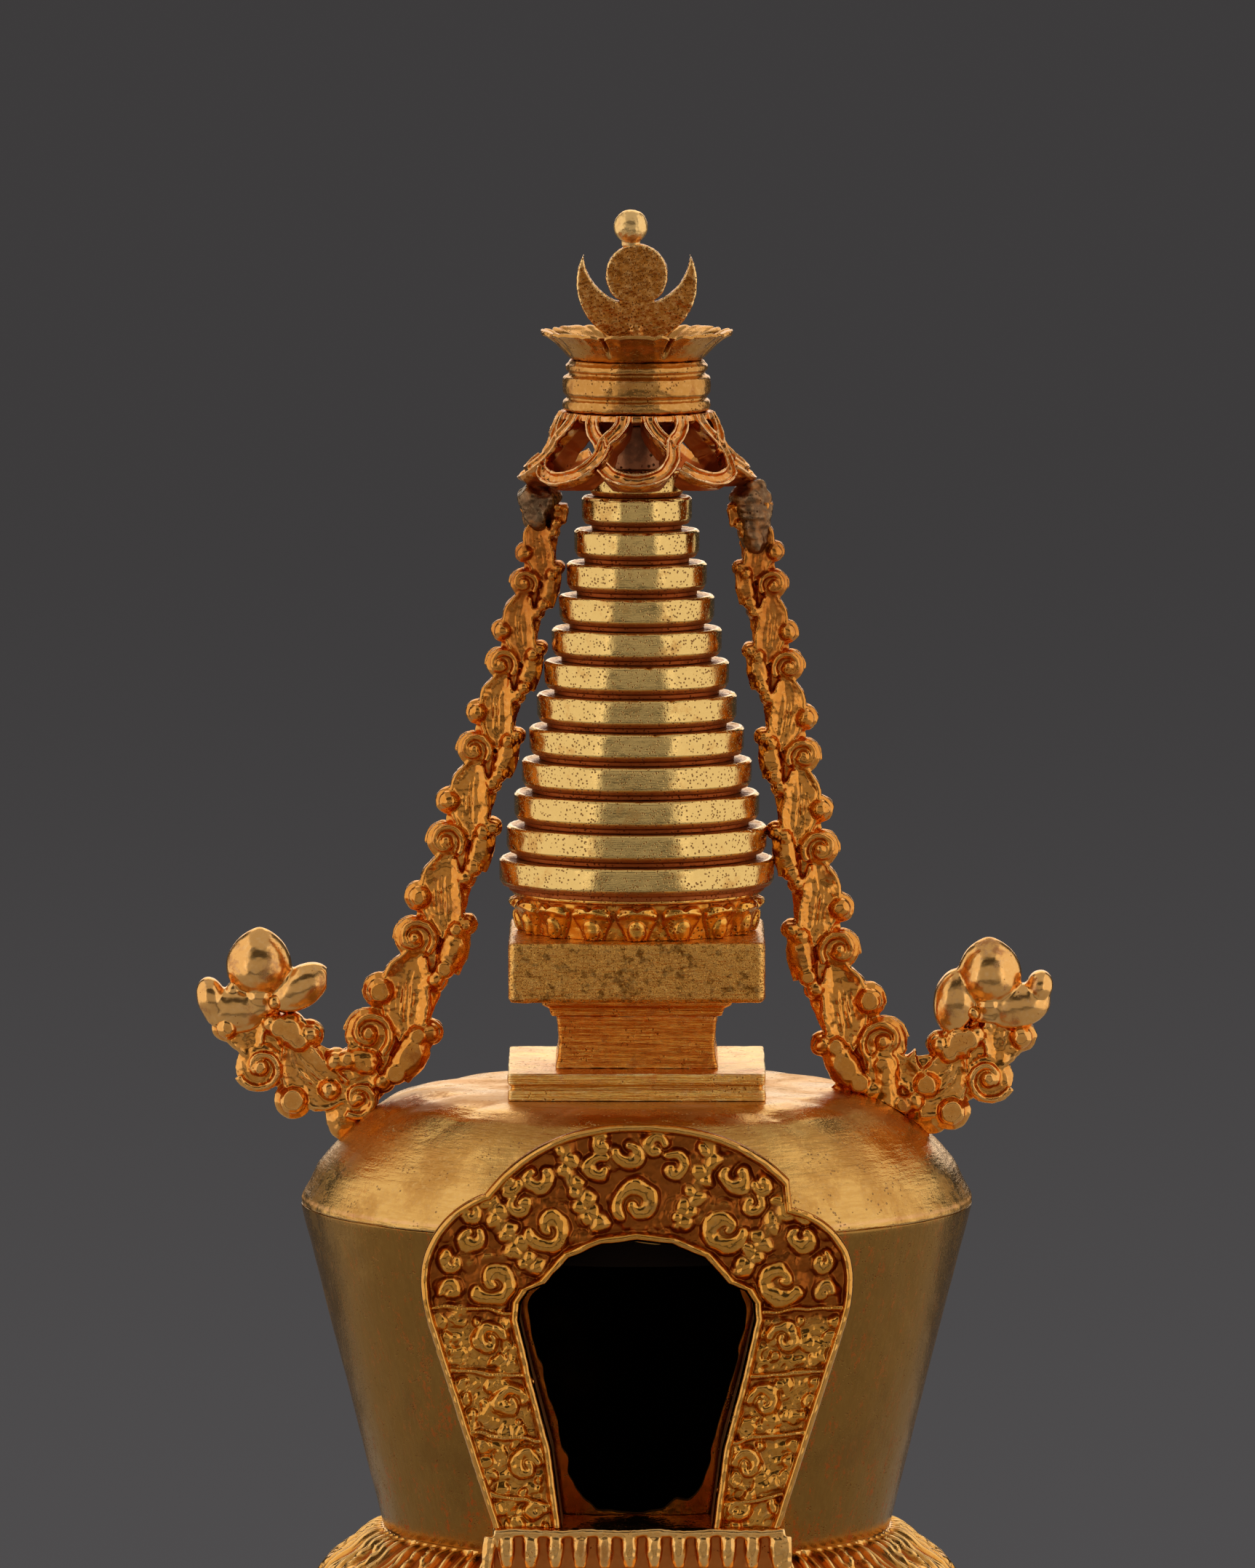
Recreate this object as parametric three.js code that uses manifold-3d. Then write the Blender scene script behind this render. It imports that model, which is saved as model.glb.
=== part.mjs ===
// A small gilt reliquary in stupa form: a square throne carries a round relic chamber with an arched
// niche, and a lift-off lid carries the square harmika, thirteen ring discs, a parasol and a finial.
// Millimetres, +Z up, front towards -Y. The origin is the centre of the underside of the foot.
import * as THREE from 'three';
import { mergeVertices } from 'three/addons/utils/BufferGeometryUtils.js';
import Module from 'manifold-3d';

const wasm = await Module();
wasm.setup();

// ---------------------------------------------------------------- driving dimensions
const GAP = 0.3;                 // between pieces that one of them is cut to follow
const WELD = 1e-4;               // vertices closer than this are one vertex
const ROUND = 40;                // sides of the large round pieces
const RING_SIDES = 24;           // sides of the spire discs, the crown and the rod

// heights of the base, from the floor up
const FOOT_TOP = 14;             // top of the square lotus foot
const PLINTH_TOP = 19;           // top of the throne's lower mouldings
const DADO_TOP = 30;
const CORNICE_TOP = 36;
const STEP_HEIGHT = 4;
const STEP_COUNT = 4;
const STEPS_TOP = CORNICE_TOP + STEP_HEIGHT * STEP_COUNT;
const CHAMBER_FLOOR = 60;        // top of the round lotus, underside of the chamber wall

// half widths of the square base pieces
const FOOT_HALF = 44;
const PLINTH_HALF = 37.2;
const DADO_HALF = 31;
const CORNICE_HALF = 38.5;
const FIRST_STEP_HALF = 36;
const STEP_SETBACK = 3;
const BASE_CAVITY_HALF = 24;     // the hollow that runs up through the cast base

// relic chamber and its lid
const DRUM_FOOT_R = 19.2;
const RIM_Z = 84.7;
const RIM_R = 25.5;
const WALL = 1.2;
const LID_TOP = 93.3;            // flat top of the lid, under the harmika
const LID_UNDER = 92;            // underside of that flat top
const LIP_DEPTH = 2.4;           // spigot that drops inside the chamber rim
const LIP_R = 23.2;

// harmika, from the lid up
const HARMIKA_PLINTH_TOP = 95.4;
const NECK_TOP = 99.4;
const MOULDING_TOP = 100.7;
const BLOCK_TOP = 105.3;
const BLOCK_HALF = 9.65;

// spire
const SPIRE_LOTUS_TOP = 108.4;
const RING_PITCH = 2.49;
const RING_COUNT = 12;           // full discs; a smaller thirteenth sits under the parasol
const RING_FACE = 1.75;          // height of a disc's edge
const LOWEST_RING_R = 10.42;
const RING_TAPER = 0.567;        // radius lost from one disc to the next
const GROOVE_DEPTH = 1.2;
const RINGS_TOP = SPIRE_LOTUS_TOP + RING_PITCH * RING_COUNT;
const TOP_RING_R = 3.6;
const TOP_RING_TOP = 140.4;

// parasol, crown and finial
const SKIRT_TOP = 144.7;
const BAND_TOP = 148.6;
const CROWN_FLOOR = 149.4;
const CROWN_TOP = 150.9;
const FINIAL_FOOT = 150.1;
const MOON_Z = 154.4;
const MOON_R = 4.58;
const MOON_HOLLOW_Z = 156.8;
const MOON_HOLLOW_R = 4.03;
const SUN_Z = 155;
const SUN_R = 2.37;
const FINIAL_THICK = 1.3;
const JEWEL_Z = 158.7;
const JEWEL_R = 1.3;
const JEWEL_X = -0.44;

// central rod, which ties the whole lid together
const ROD_R = 1.6;
const BORE_R = ROD_R + GAP;
const ROD_FOOT = 89.9;
const ROD_HEAD_TOP = CROWN_FLOOR + 0.5;
const ROD_HEAD_R = 2.5;
const SOCKET_R = 0.95;
const SOCKET_FLOOR = 144;
const TENON_R = 0.8;
const TENON_FOOT = 144.4;
const KEY = { length: 9, width: 1.4, height: 1.5 };

// niche: a flat arched plate that stands clear of the chamber wall on a porch
const PLATE_FRONT_Y = -27.5;
const PLATE_BACK_Y = -26.3;
const NICHE_FLOOR_Z = 63.4;
const SILL = { half: 11.5, bottom: 59.6, frontY: -27.8, backY: -14 };

// ribbons beside the spire
const RIBBON_THICK = 2;

// ---------------------------------------------------------------- finishes
const FINISH = {
  lemonGilt: { color: 0xd9b964, roughness: 0.28, metalness: 1 },
  oliveGilt: { color: 0x9c8038, roughness: 0.42, metalness: 1 },
  darkGilt: { color: 0xa87a2c, roughness: 0.4, metalness: 1 },
  redGilt: { color: 0xb86a28, roughness: 0.45, metalness: 1 },
  bareCopper: { color: 0x8a4a2a, roughness: 0.6, metalness: 1 },
  greySolder: { color: 0x5d5a55, roughness: 0.55, metalness: 1 },
};

const group = new THREE.Group();

// ---------------------------------------------------------------- helpers
// A closed geometry as a solid with its faces pointing out.
function toSolid(geometry) {
  const bare = geometry.clone();
  bare.deleteAttribute('normal');
  bare.deleteAttribute('uv');
  const welded = mergeVertices(bare, WELD);
  const at = welded.attributes.position.array;
  const corners = [];
  const a = new THREE.Vector3();
  const b = new THREE.Vector3();
  const c = new THREE.Vector3();
  let volume = 0;
  for (let i = 0; i < welded.index.count; i += 3) {
    const [p, q, r] = welded.index.array.slice(i, i + 3);
    if (p === q || q === r || r === p) continue;
    corners.push([p, q, r]);
    volume += a.fromArray(at, p * 3).dot(b.fromArray(at, q * 3).cross(c.fromArray(at, r * 3)));
  }
  const facingOut = volume > 0 ? corners : corners.map(([p, q, r]) => [p, r, q]);
  return new wasm.Manifold(new wasm.Mesh({
    numProp: 3,
    vertProperties: new Float32Array(at),
    triVerts: new Uint32Array(facingOut.flat()),
  }));
}

function toGeometry(solid) {
  const mesh = solid.getMesh();
  const geometry = new THREE.BufferGeometry();
  geometry.setAttribute('position', new THREE.BufferAttribute(mesh.vertProperties, 3));
  geometry.setIndex(new THREE.BufferAttribute(mesh.triVerts, 1));
  geometry.computeVertexNormals();
  return geometry;
}

function addPart(name, solid, finish) {
  const mesh = new THREE.Mesh(toGeometry(solid), new THREE.MeshStandardMaterial(finish));
  mesh.name = name;
  group.add(mesh);
}

const v2 = ([x, y]) => new THREE.Vector2(x, y);
const joined = (solids) => solids.reduce((whole, next) => whole.add(next));
const without = (solid, cutters) => cutters.reduce((left, next) => left.subtract(next), solid);

// Round solid from a profile of [radius, height] that ends on the axis at both ends.
function turned(profile, sides = ROUND) {
  return toSolid(new THREE.LatheGeometry(profile.map(v2), sides).rotateX(Math.PI / 2));
}

// Round ring from a profile of [radius, height] that closes on itself.
function turnedRing(profile, sides = ROUND) {
  return turned([...profile, profile[0]], sides);
}

// Square tier from a profile of [half width, height].
function squared(profile) {
  const corner = profile.map(([half, z]) => v2([half * Math.SQRT2, z]));
  return toSolid(new THREE.LatheGeometry(corner, 4, Math.PI / 4).rotateX(Math.PI / 2));
}

// Square frame, open through the middle, from an outer profile and the inner half width.
function squareFrame(outer, innerHalf) {
  const low = outer[0][1];
  const high = outer[outer.length - 1][1];
  return squared([...outer, [innerHalf, high], [innerHalf, low], outer[0]]);
}

function cylinder(radius, bottom, top, sides = RING_SIDES) {
  return turned([[0, bottom], [radius, bottom], [radius, top], [0, top]], sides);
}

const bored = (solid) => solid.subtract(cylinder(BORE_R, ROD_FOOT, BAND_TOP + 5));

function box(width, depth, bottom, top, x = 0, y = 0) {
  const geometry = new THREE.BoxGeometry(width, depth, top - bottom);
  return toSolid(geometry.translate(x, y, (bottom + top) / 2));
}

// Plate cut from a shape drawn in X and Z, from frontY back to backY.
function plate(shape, frontY, backY, curveSegments = 8) {
  const options = { depth: backY - frontY, bevelEnabled: false, curveSegments };
  const geometry = new THREE.ExtrudeGeometry(shape, options);
  return toSolid(geometry.rotateX(Math.PI / 2).translate(0, backY, 0));
}

// Flat ribbon along stations of [x, z, half width], centred on y = 0.
function ribbon(stations, steps) {
  const curve = new THREE.CatmullRomCurve3(stations.map((s) => new THREE.Vector3(...s)));
  const left = [];
  const right = [];
  for (let i = 0; i <= steps; i += 1) {
    const at = curve.getPoint(i / steps);
    const along = curve.getTangent(i / steps);
    const across = new THREE.Vector2(-along.y, along.x).normalize().multiplyScalar(at.z);
    left.push(new THREE.Vector2(at.x + across.x, at.y + across.y));
    right.unshift(new THREE.Vector2(at.x - across.x, at.y - across.y));
  }
  const shape = new THREE.Shape([...left, ...right]);
  return plate(shape, -RIBBON_THICK / 2, RIBBON_THICK / 2);
}

function ellipsoid([rx, ry, rz], [x, y, z], tilt = 0) {
  const geometry = new THREE.SphereGeometry(1, 10, 6);
  return toSolid(geometry.scale(rx, ry, rz).rotateY(tilt).translate(x, y, z));
}

// ---------------------------------------------------------------- base
function addBase() {
  addPart('base_plate', box(81, 81, 0.8, 1.5), FINISH.bareCopper);
  addPart('base_lotus', squared([
    [FOOT_HALF, 0], [FOOT_HALF, 2.4], [42.4, 3], [43, 5], [41.5, 9], [38, 12.6],
    [PLINTH_HALF, 13], [PLINTH_HALF, FOOT_TOP], [35, FOOT_TOP], [35, 12], [40.8, 4],
    [40.8, 0], [FOOT_HALF, 0],
  ]), FINISH.darkGilt);
  addPart('throne_plinth', squareFrame([
    [PLINTH_HALF - 0.7, FOOT_TOP], [PLINTH_HALF - 0.7, 15.6], [34.6, 16], [34.6, 17.4],
    [32.6, 17.8], [32.6, PLINTH_TOP],
  ], BASE_CAVITY_HALF), FINISH.darkGilt);
  addPart('throne_dado', squareFrame([
    [DADO_HALF, PLINTH_TOP], [DADO_HALF, DADO_TOP],
  ], BASE_CAVITY_HALF), FINISH.oliveGilt);
  addPart('throne_cornice', squareFrame([
    [33, DADO_TOP], [33, 31.4], [36, 32], [36, 33.2], [CORNICE_HALF, 33.6],
    [CORNICE_HALF, CORNICE_TOP],
  ], BASE_CAVITY_HALF), FINISH.darkGilt);
  for (let i = 0; i < STEP_COUNT; i += 1) {
    const half = FIRST_STEP_HALF - i * STEP_SETBACK;
    const low = CORNICE_TOP + i * STEP_HEIGHT;
    const high = low + STEP_HEIGHT;
    addPart(`throne_step_${i + 1}`, squareFrame([
      [half, low], [half, high - 1], [half - 0.4, high - 0.8], [half - 0.4, high],
    ], BASE_CAVITY_HALF - 4), FINISH.darkGilt);
  }
  addPart('dome_lotus', turned([
    [0, CHAMBER_FLOOR - 1.6], [16, CHAMBER_FLOOR - 1.6], [19.6, STEPS_TOP + 4],
    [21.4, STEPS_TOP], [26.4, STEPS_TOP], [25.8, STEPS_TOP + 2.2], [23.6, STEPS_TOP + 5.4],
    [21, CHAMBER_FLOOR - 0.6], [19.8, CHAMBER_FLOOR], [0, CHAMBER_FLOOR],
  ]), FINISH.redGilt);
}

// ---------------------------------------------------------------- relic chamber and niche
// Half of the niche window, from the floor up to the crown; sign mirrors it.
function windowHalf(path, sign, upwards) {
  const points = [
    [5.55, NICHE_FLOOR_Z], [6.3, 69.2], [7.7, 74.6], [8.7, 79], [8.3, 80.9], [6.6, 81.7],
    [5, 83.5], [2.6, 84.5], [0, 84.8],
  ];
  const walk = upwards ? points : points.slice(0, -1).reverse();
  walk.forEach(([x, z]) => path.lineTo(sign * x, z));
}

// Outline of the arched plate: a stepped arch outside, the window inside, open at the floor.
function nicheOutline(inset) {
  const shape = new THREE.Shape();
  const outer = (x) => x - inset;
  shape.moveTo(-outer(10.7), NICHE_FLOOR_Z);
  shape.lineTo(-outer(15.6), 78.8);
  shape.quadraticCurveTo(-outer(16.5), 82, -outer(15.7), 84.1);
  shape.quadraticCurveTo(-outer(14.6), 87, -outer(11.2), 88.3 - inset);
  shape.quadraticCurveTo(-outer(7.4), 92.7 - inset, 0, 92.7 - inset);
  shape.quadraticCurveTo(outer(7.4), 92.7 - inset, outer(11.2), 88.3 - inset);
  shape.quadraticCurveTo(outer(14.6), 87, outer(15.7), 84.1);
  shape.quadraticCurveTo(outer(16.5), 82, outer(15.6), 78.8);
  shape.lineTo(outer(10.7), NICHE_FLOOR_Z);
  windowHalf(shape, 1, true);
  windowHalf(shape, -1, false);
  return shape;
}

// The rougher hole through the chamber wall behind the window: narrower, with a rounded foot.
function wallOpening() {
  const shape = new THREE.Shape();
  shape.moveTo(-3.4, NICHE_FLOOR_Z + 0.7);
  shape.lineTo(3.4, NICHE_FLOOR_Z + 0.7);
  shape.quadraticCurveTo(4.9, NICHE_FLOOR_Z + 0.9, 5.4, 67);
  shape.lineTo(7.4, 74.6);
  shape.quadraticCurveTo(8.9, 79.4, 6.2, 81.7);
  shape.quadraticCurveTo(3.8, 84.4, 0, 84.5);
  shape.quadraticCurveTo(-3.8, 84.4, -6.2, 81.7);
  shape.quadraticCurveTo(-8.9, 79.4, -7.4, 74.6);
  shape.lineTo(-5.4, 67);
  shape.quadraticCurveTo(-4.9, NICHE_FLOOR_Z + 0.9, -3.4, NICHE_FLOOR_Z + 0.7);
  return shape;
}

// Everything inside the chamber wall, or inside the path that the lid sweeps as it lifts.
function chamberEnvelope() {
  return joined([
    turned([
      [0, 50], [DRUM_FOOT_R + GAP, 50], [DRUM_FOOT_R + GAP, CHAMBER_FLOOR],
      [RIM_R + GAP, RIM_Z], [0, RIM_Z],
    ]),
    cylinder(RIM_R + GAP, RIM_Z - GAP, LID_TOP + 2, ROUND),
  ]);
}

function addChamber() {
  const shell = turnedRing([
    [DRUM_FOOT_R, CHAMBER_FLOOR], [RIM_R, RIM_Z], [RIM_R - WALL, RIM_Z],
    [DRUM_FOOT_R - WALL, CHAMBER_FLOOR],
  ]);
  const opening = plate(wallOpening(), PLATE_FRONT_Y, 0, 4);
  addPart('dome_drum', shell.subtract(opening), FINISH.oliveGilt);

  const niche = plate(nicheOutline(0), PLATE_FRONT_Y, PLATE_BACK_Y);
  addPart('niche_frame', niche, FINISH.darkGilt);

  const porch = plate(nicheOutline(0.6), PLATE_BACK_Y, -SILL.half);
  addPart('niche_porch', porch.subtract(chamberEnvelope()), FINISH.redGilt);

  const ledge = box(
    SILL.half * 2, SILL.backY - SILL.frontY, SILL.bottom, NICHE_FLOOR_Z,
    0, (SILL.frontY + SILL.backY) / 2,
  );
  const lotusTop = cylinder(22, 50, CHAMBER_FLOOR + GAP, ROUND);
  addPart('niche_sill', without(ledge, [chamberEnvelope(), lotusTop]), FINISH.darkGilt);
}

// ---------------------------------------------------------------- lid and harmika
const LID_OUTER = [
  [RIM_R, RIM_Z], [25, 86.1], [24.2, 87.5], [23.1, 88.8], [21.5, 90.4], [20.2, 91.5],
  [18.8, 92.4], [16.8, 93], [14.5, LID_TOP],
];

function addLid() {
  addPart('dome_shoulder', turnedRing([
    ...LID_OUTER, [BORE_R, LID_TOP], [BORE_R, LID_UNDER], [14.5, LID_UNDER], [18.2, 91.2],
    [20.9, 89.1], [22.6, 86.9], [LIP_R - 1, RIM_Z], [LIP_R - 1, RIM_Z - LIP_DEPTH],
    [LIP_R, RIM_Z - LIP_DEPTH], [LIP_R, RIM_Z],
  ]), FINISH.lemonGilt);
  addPart('harmika_plinth', bored(squared([
    [0, LID_TOP], [9.7, LID_TOP], [9.7, 94.1], [9.4, 94.25], [9.4, 94.45], [9.7, 94.6],
    [9.7, HARMIKA_PLINTH_TOP], [0, HARMIKA_PLINTH_TOP],
  ])), FINISH.redGilt);
  addPart('harmika_neck', bored(squared([
    [0, HARMIKA_PLINTH_TOP], [6.2, HARMIKA_PLINTH_TOP], [5.9, 97.4], [6.1, NECK_TOP],
    [0, NECK_TOP],
  ])), FINISH.redGilt);
  addPart('harmika_moulding', bored(squared([
    [0, NECK_TOP], [6.4, NECK_TOP], [6.6, 100], [7.2, MOULDING_TOP], [0, MOULDING_TOP],
  ])), FINISH.redGilt);
  addPart('harmika_block', bored(squared([
    [0, MOULDING_TOP], [BLOCK_HALF - 0.25, MOULDING_TOP], [BLOCK_HALF, MOULDING_TOP + 0.3],
    [BLOCK_HALF, BLOCK_TOP - 0.3], [BLOCK_HALF - 0.25, BLOCK_TOP], [0, BLOCK_TOP],
  ])), FINISH.darkGilt);
}

// ---------------------------------------------------------------- spire
function addSpire() {
  addPart('spire_lotus', turnedRing([
    [BORE_R, BLOCK_TOP], [8.8, BLOCK_TOP], [9.2, 106.6], [9.85, 107.9],
    [9.4, SPIRE_LOTUS_TOP], [BORE_R, SPIRE_LOTUS_TOP],
  ]), FINISH.redGilt);

  // Each disc has a tall edge above a recessed neck that spaces it from the disc below.
  for (let i = 0; i <= RING_COUNT; i += 1) {
    const full = i < RING_COUNT;
    const low = SPIRE_LOTUS_TOP + i * RING_PITCH;
    const high = full ? low + RING_PITCH : TOP_RING_TOP;
    const radius = full ? LOWEST_RING_R - i * RING_TAPER : TOP_RING_R;
    const faceLow = high - RING_FACE;
    const number = String(i + 1).padStart(2, '0');
    addPart(`spire_ring_${number}`, turnedRing([
      [BORE_R, low], [radius - GROOVE_DEPTH, low], [radius - GROOVE_DEPTH, faceLow],
      [radius - 0.25, faceLow], [radius, faceLow + 0.3], [radius, high], [BORE_R, high],
    ], RING_SIDES), FINISH.lemonGilt);
  }
  addPart('spire_neck', turnedRing([
    [BORE_R, TOP_RING_TOP], [2.9, TOP_RING_TOP], [2.9, SKIRT_TOP - 1], [BORE_R, SKIRT_TOP - 1],
  ], RING_SIDES), FINISH.redGilt);

  const shaft = turned([
    [0, ROD_FOOT], [ROD_R, ROD_FOOT], [ROD_R, CROWN_FLOOR], [ROD_HEAD_R, CROWN_FLOOR],
    [ROD_HEAD_R, ROD_HEAD_TOP], [0, ROD_HEAD_TOP],
  ], RING_SIDES);
  const keyTop = LID_UNDER;
  const keyBottom = keyTop - KEY.height;
  const slot = box(ROD_R * 4, KEY.width + 0.2, keyBottom - 0.1, keyTop + 0.1);
  const socket = cylinder(SOCKET_R, SOCKET_FLOOR, ROD_HEAD_TOP + 1);
  addPart('spire_rod', without(shaft, [slot, socket]), FINISH.bareCopper);
  addPart('rod_key', box(KEY.length, KEY.width, keyBottom, keyTop), FINISH.bareCopper);
}

// ---------------------------------------------------------------- parasol, crown and finial
// Radial cutter: a shape drawn in X and Z, pushed outwards from near the axis, then turned.
function radialCutter(shape, angle) {
  const outwards = plate(shape, -12, -3.2, 3);
  return outwards.rotate([0, 0, THREE.MathUtils.radToDeg(angle)]);
}

function addParasol() {
  const outer = [
    [9.07, 139.3], [8.4, 140.3], [7.9, 140.8], [7.07, 141.9], [6.65, 143], [6, 144.1],
    [5.6, SKIRT_TOP],
  ];
  const inner = outer.slice(0, -1).reverse().map(([r, z]) => [r - 0.9, z]);
  const skirt = turnedRing([
    ...outer, [BORE_R, SKIRT_TOP], [BORE_R, SKIRT_TOP - 1], [inner[0][0], SKIRT_TOP - 1],
    ...inner.slice(1),
  ], RING_SIDES);

  const lobeCount = 8;
  const petal = new THREE.Shape();
  petal.moveTo(-1.35, 140);
  petal.quadraticCurveTo(-1.8, 142, 0, 142.7);
  petal.quadraticCurveTo(1.8, 142, 1.35, 140);
  const eye = new THREE.Shape().absarc(0, 142.9, 0.6, 0, Math.PI * 2);
  const scallop = new THREE.Shape().absarc(0, 139.1, 0.8, 0, Math.PI * 2);
  const cutters = [];
  for (let i = 0; i < lobeCount; i += 1) {
    const angle = (i / lobeCount) * Math.PI * 2;
    const between = angle + Math.PI / lobeCount;
    cutters.push(
      radialCutter(petal, angle), radialCutter(eye, between), radialCutter(scallop, between),
    );
  }
  addPart('parasol_skirt', without(skirt, cutters), FINISH.redGilt);

  addPart('parasol_band', turnedRing([
    [BORE_R, SKIRT_TOP], [5.55, SKIRT_TOP], [5.62, 145.65], [5.35, 145.8], [5.63, 146.2],
    [5.63, 147.5], [5.35, 147.8], [5.35, 148.3], [5.1, BAND_TOP], [BORE_R, BAND_TOP],
  ], RING_SIDES), FINISH.darkGilt);

  addPart('crown_lotus', turnedRing([
    [BORE_R, BAND_TOP], [5, BAND_TOP], [5.6, 149.2], [6.4, 150.3], [7.25, CROWN_TOP - 0.3],
    [7.1, CROWN_TOP], [6.2, CROWN_TOP - 0.2], [5.2, 149.9], [4.6, CROWN_FLOOR],
    [BORE_R, CROWN_FLOOR],
  ], RING_SIDES), FINISH.oliveGilt);
}

function addFinial() {
  // The moon is what is left of a disc when a smaller, higher disc is taken out of it.
  const disc = (z, radius) => {
    const shape = new THREE.Shape().absarc(0, z, radius, 0, Math.PI * 2);
    return plate(shape, -FINIAL_THICK / 2, FINIAL_THICK / 2, 20);
  };
  const hollow = new THREE.Shape().absarc(0, MOON_HOLLOW_Z, MOON_HOLLOW_R, 0, Math.PI * 2);
  const flatFoot = box(10, 4, 140, FINIAL_FOOT);
  const moon = without(disc(MOON_Z, MOON_R), [plate(hollow, -2, 2, 20), flatFoot]);
  const tenon = cylinder(TENON_R, TENON_FOOT, FINIAL_FOOT + 1, 12);
  addPart('finial_sun_moon', joined([moon, disc(SUN_Z, SUN_R), tenon]), FINISH.redGilt);

  const sunTop = cylinder(JEWEL_R, SUN_Z, SUN_Z + SUN_R + 0.1, 12);
  const ball = ellipsoid([JEWEL_R, JEWEL_R, JEWEL_R], [JEWEL_X, 0, JEWEL_Z]);
  addPart('finial_jewel', ball.subtract(sunTop), FINISH.oliveGilt);
}

// ---------------------------------------------------------------- ribbons
function addRibbons() {
  const lidKeepOut = turned([
    [0, 80], ...LID_OUTER.map(([r, z]) => [r + GAP, z + GAP]), [0, LID_TOP + GAP],
  ]);
  const leftStem = ribbon([
    [-7.2, 137.6, 1.4], [-7.5, 132.9, 1.6], [-8.7, 129, 1.7], [-9, 126, 1.9],
    [-10.2, 122.1, 2], [-11.4, 118, 2.1], [-12.9, 113.3, 2.2], [-14.1, 109.1, 2.3],
    [-15.3, 104.7, 2.5], [-16.8, 100.3, 2.8], [-19.25, 95.9, 3], [-21.9, 90.9, 2.4],
  ], 24);
  const leftArm = ribbon([
    [-20.5, 93.6, 2.4], [-25, 94.4, 2.7], [-28, 96.6, 2.3], [-28.6, 98.2, 1.8],
  ], 8);
  const rightStem = ribbon([
    [8.5, 137.6, 1.5], [9.24, 132.9, 1.8], [9.95, 127.9, 1.9], [10.5, 124.6, 2],
    [11.3, 119.6, 2.05], [11.9, 115.2, 2.1], [13, 109.7, 2.15], [13.8, 104.7, 2.4],
    [14.9, 100.3, 2.7], [17, 95.9, 3], [20.1, 91, 3.2],
  ], 24);
  const rightArm = ribbon([
    [18.5, 93, 2.6], [23, 93.4, 2.7], [26, 95.6, 2.3], [26.9, 97.4, 1.8],
  ], 8);
  addPart('left_ribbon', joined([leftStem, leftArm]).subtract(lidKeepOut), FINISH.redGilt);
  addPart('right_ribbon', joined([rightStem, rightArm]).subtract(lidKeepOut), FINISH.redGilt);

  // Each ribbon ends in a bud held by a pair of petals.
  const flower = (x, z, side) => joined([
    ellipsoid([2.3, 2, 2.3], [x, 0, z]),
    ellipsoid([1.9, 1.4, 1.7], [x, 0, z - 2.6]),
    ellipsoid([2.3, 1.3, 1.2], [x + side * 2.4, 0, z - 3.3], side * 0.5),
    ellipsoid([2.3, 1.3, 1.2], [x - side * 2.6, 0, z - 2.4], -side * 0.5),
  ]);
  const leftArmEnd = box(12, 6, 80, 98.7, -28, 0);
  const rightArmEnd = box(12, 6, 80, 98, 27, 0);
  addPart('left_flower', flower(-28.7, 102.9, -1).subtract(leftArmEnd), FINISH.darkGilt);
  addPart('right_flower', flower(26.7, 102.2, 1).subtract(rightArmEnd), FINISH.darkGilt);

  // Solder blobs that tie the ribbon tops to the parasol's rim.
  const blob = (x) => ellipsoid([1.3, 1.3, 0.9], [x, 0, 138.4]);
  const ribbonTop = box(30, 4, 130, 137.8);
  const aboveRim = box(30, 10, 139.2, 142);
  addPart('left_solder', without(blob(-7.4), [ribbonTop, aboveRim]), FINISH.greySolder);
  addPart('right_solder', without(blob(8.6), [ribbonTop, aboveRim]), FINISH.greySolder);
}

addBase();
addChamber();
addLid();
addSpire();
addParasol();
addFinial();
addRibbons();

export default group;
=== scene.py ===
"""Looks of the gilt reliquary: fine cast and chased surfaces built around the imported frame.

Shapes are worked out in millimetres in the frame's own axes (+Z up, front towards -Y), as numpy
arrays, and turned into metres when a piece is made.
"""
import math

import bpy
import numpy as np
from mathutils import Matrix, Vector


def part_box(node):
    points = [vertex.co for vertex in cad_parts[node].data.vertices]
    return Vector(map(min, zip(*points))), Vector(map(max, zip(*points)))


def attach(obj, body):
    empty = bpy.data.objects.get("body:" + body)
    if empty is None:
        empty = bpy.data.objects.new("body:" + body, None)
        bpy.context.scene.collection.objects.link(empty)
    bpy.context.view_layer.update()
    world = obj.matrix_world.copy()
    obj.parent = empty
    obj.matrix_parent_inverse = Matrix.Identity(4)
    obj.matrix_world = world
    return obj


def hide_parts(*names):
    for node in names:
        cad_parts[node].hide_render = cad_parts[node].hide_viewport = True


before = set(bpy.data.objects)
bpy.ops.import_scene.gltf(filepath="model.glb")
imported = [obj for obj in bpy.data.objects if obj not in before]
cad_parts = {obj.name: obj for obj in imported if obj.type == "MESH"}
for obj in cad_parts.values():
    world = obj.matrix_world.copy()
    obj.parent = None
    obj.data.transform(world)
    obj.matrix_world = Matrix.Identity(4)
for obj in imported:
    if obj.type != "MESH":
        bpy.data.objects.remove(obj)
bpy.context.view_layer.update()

MM = 0.001
TAU = 2 * math.pi


# ------------------------------------------------------------------ frame dimensions, in mm
def low(node):
    """Lowest corner of a CAD node's box."""
    return np.array(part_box(node)[0]) / MM


def high(node):
    """Highest corner of a CAD node's box."""
    return np.array(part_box(node)[1]) / MM


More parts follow.
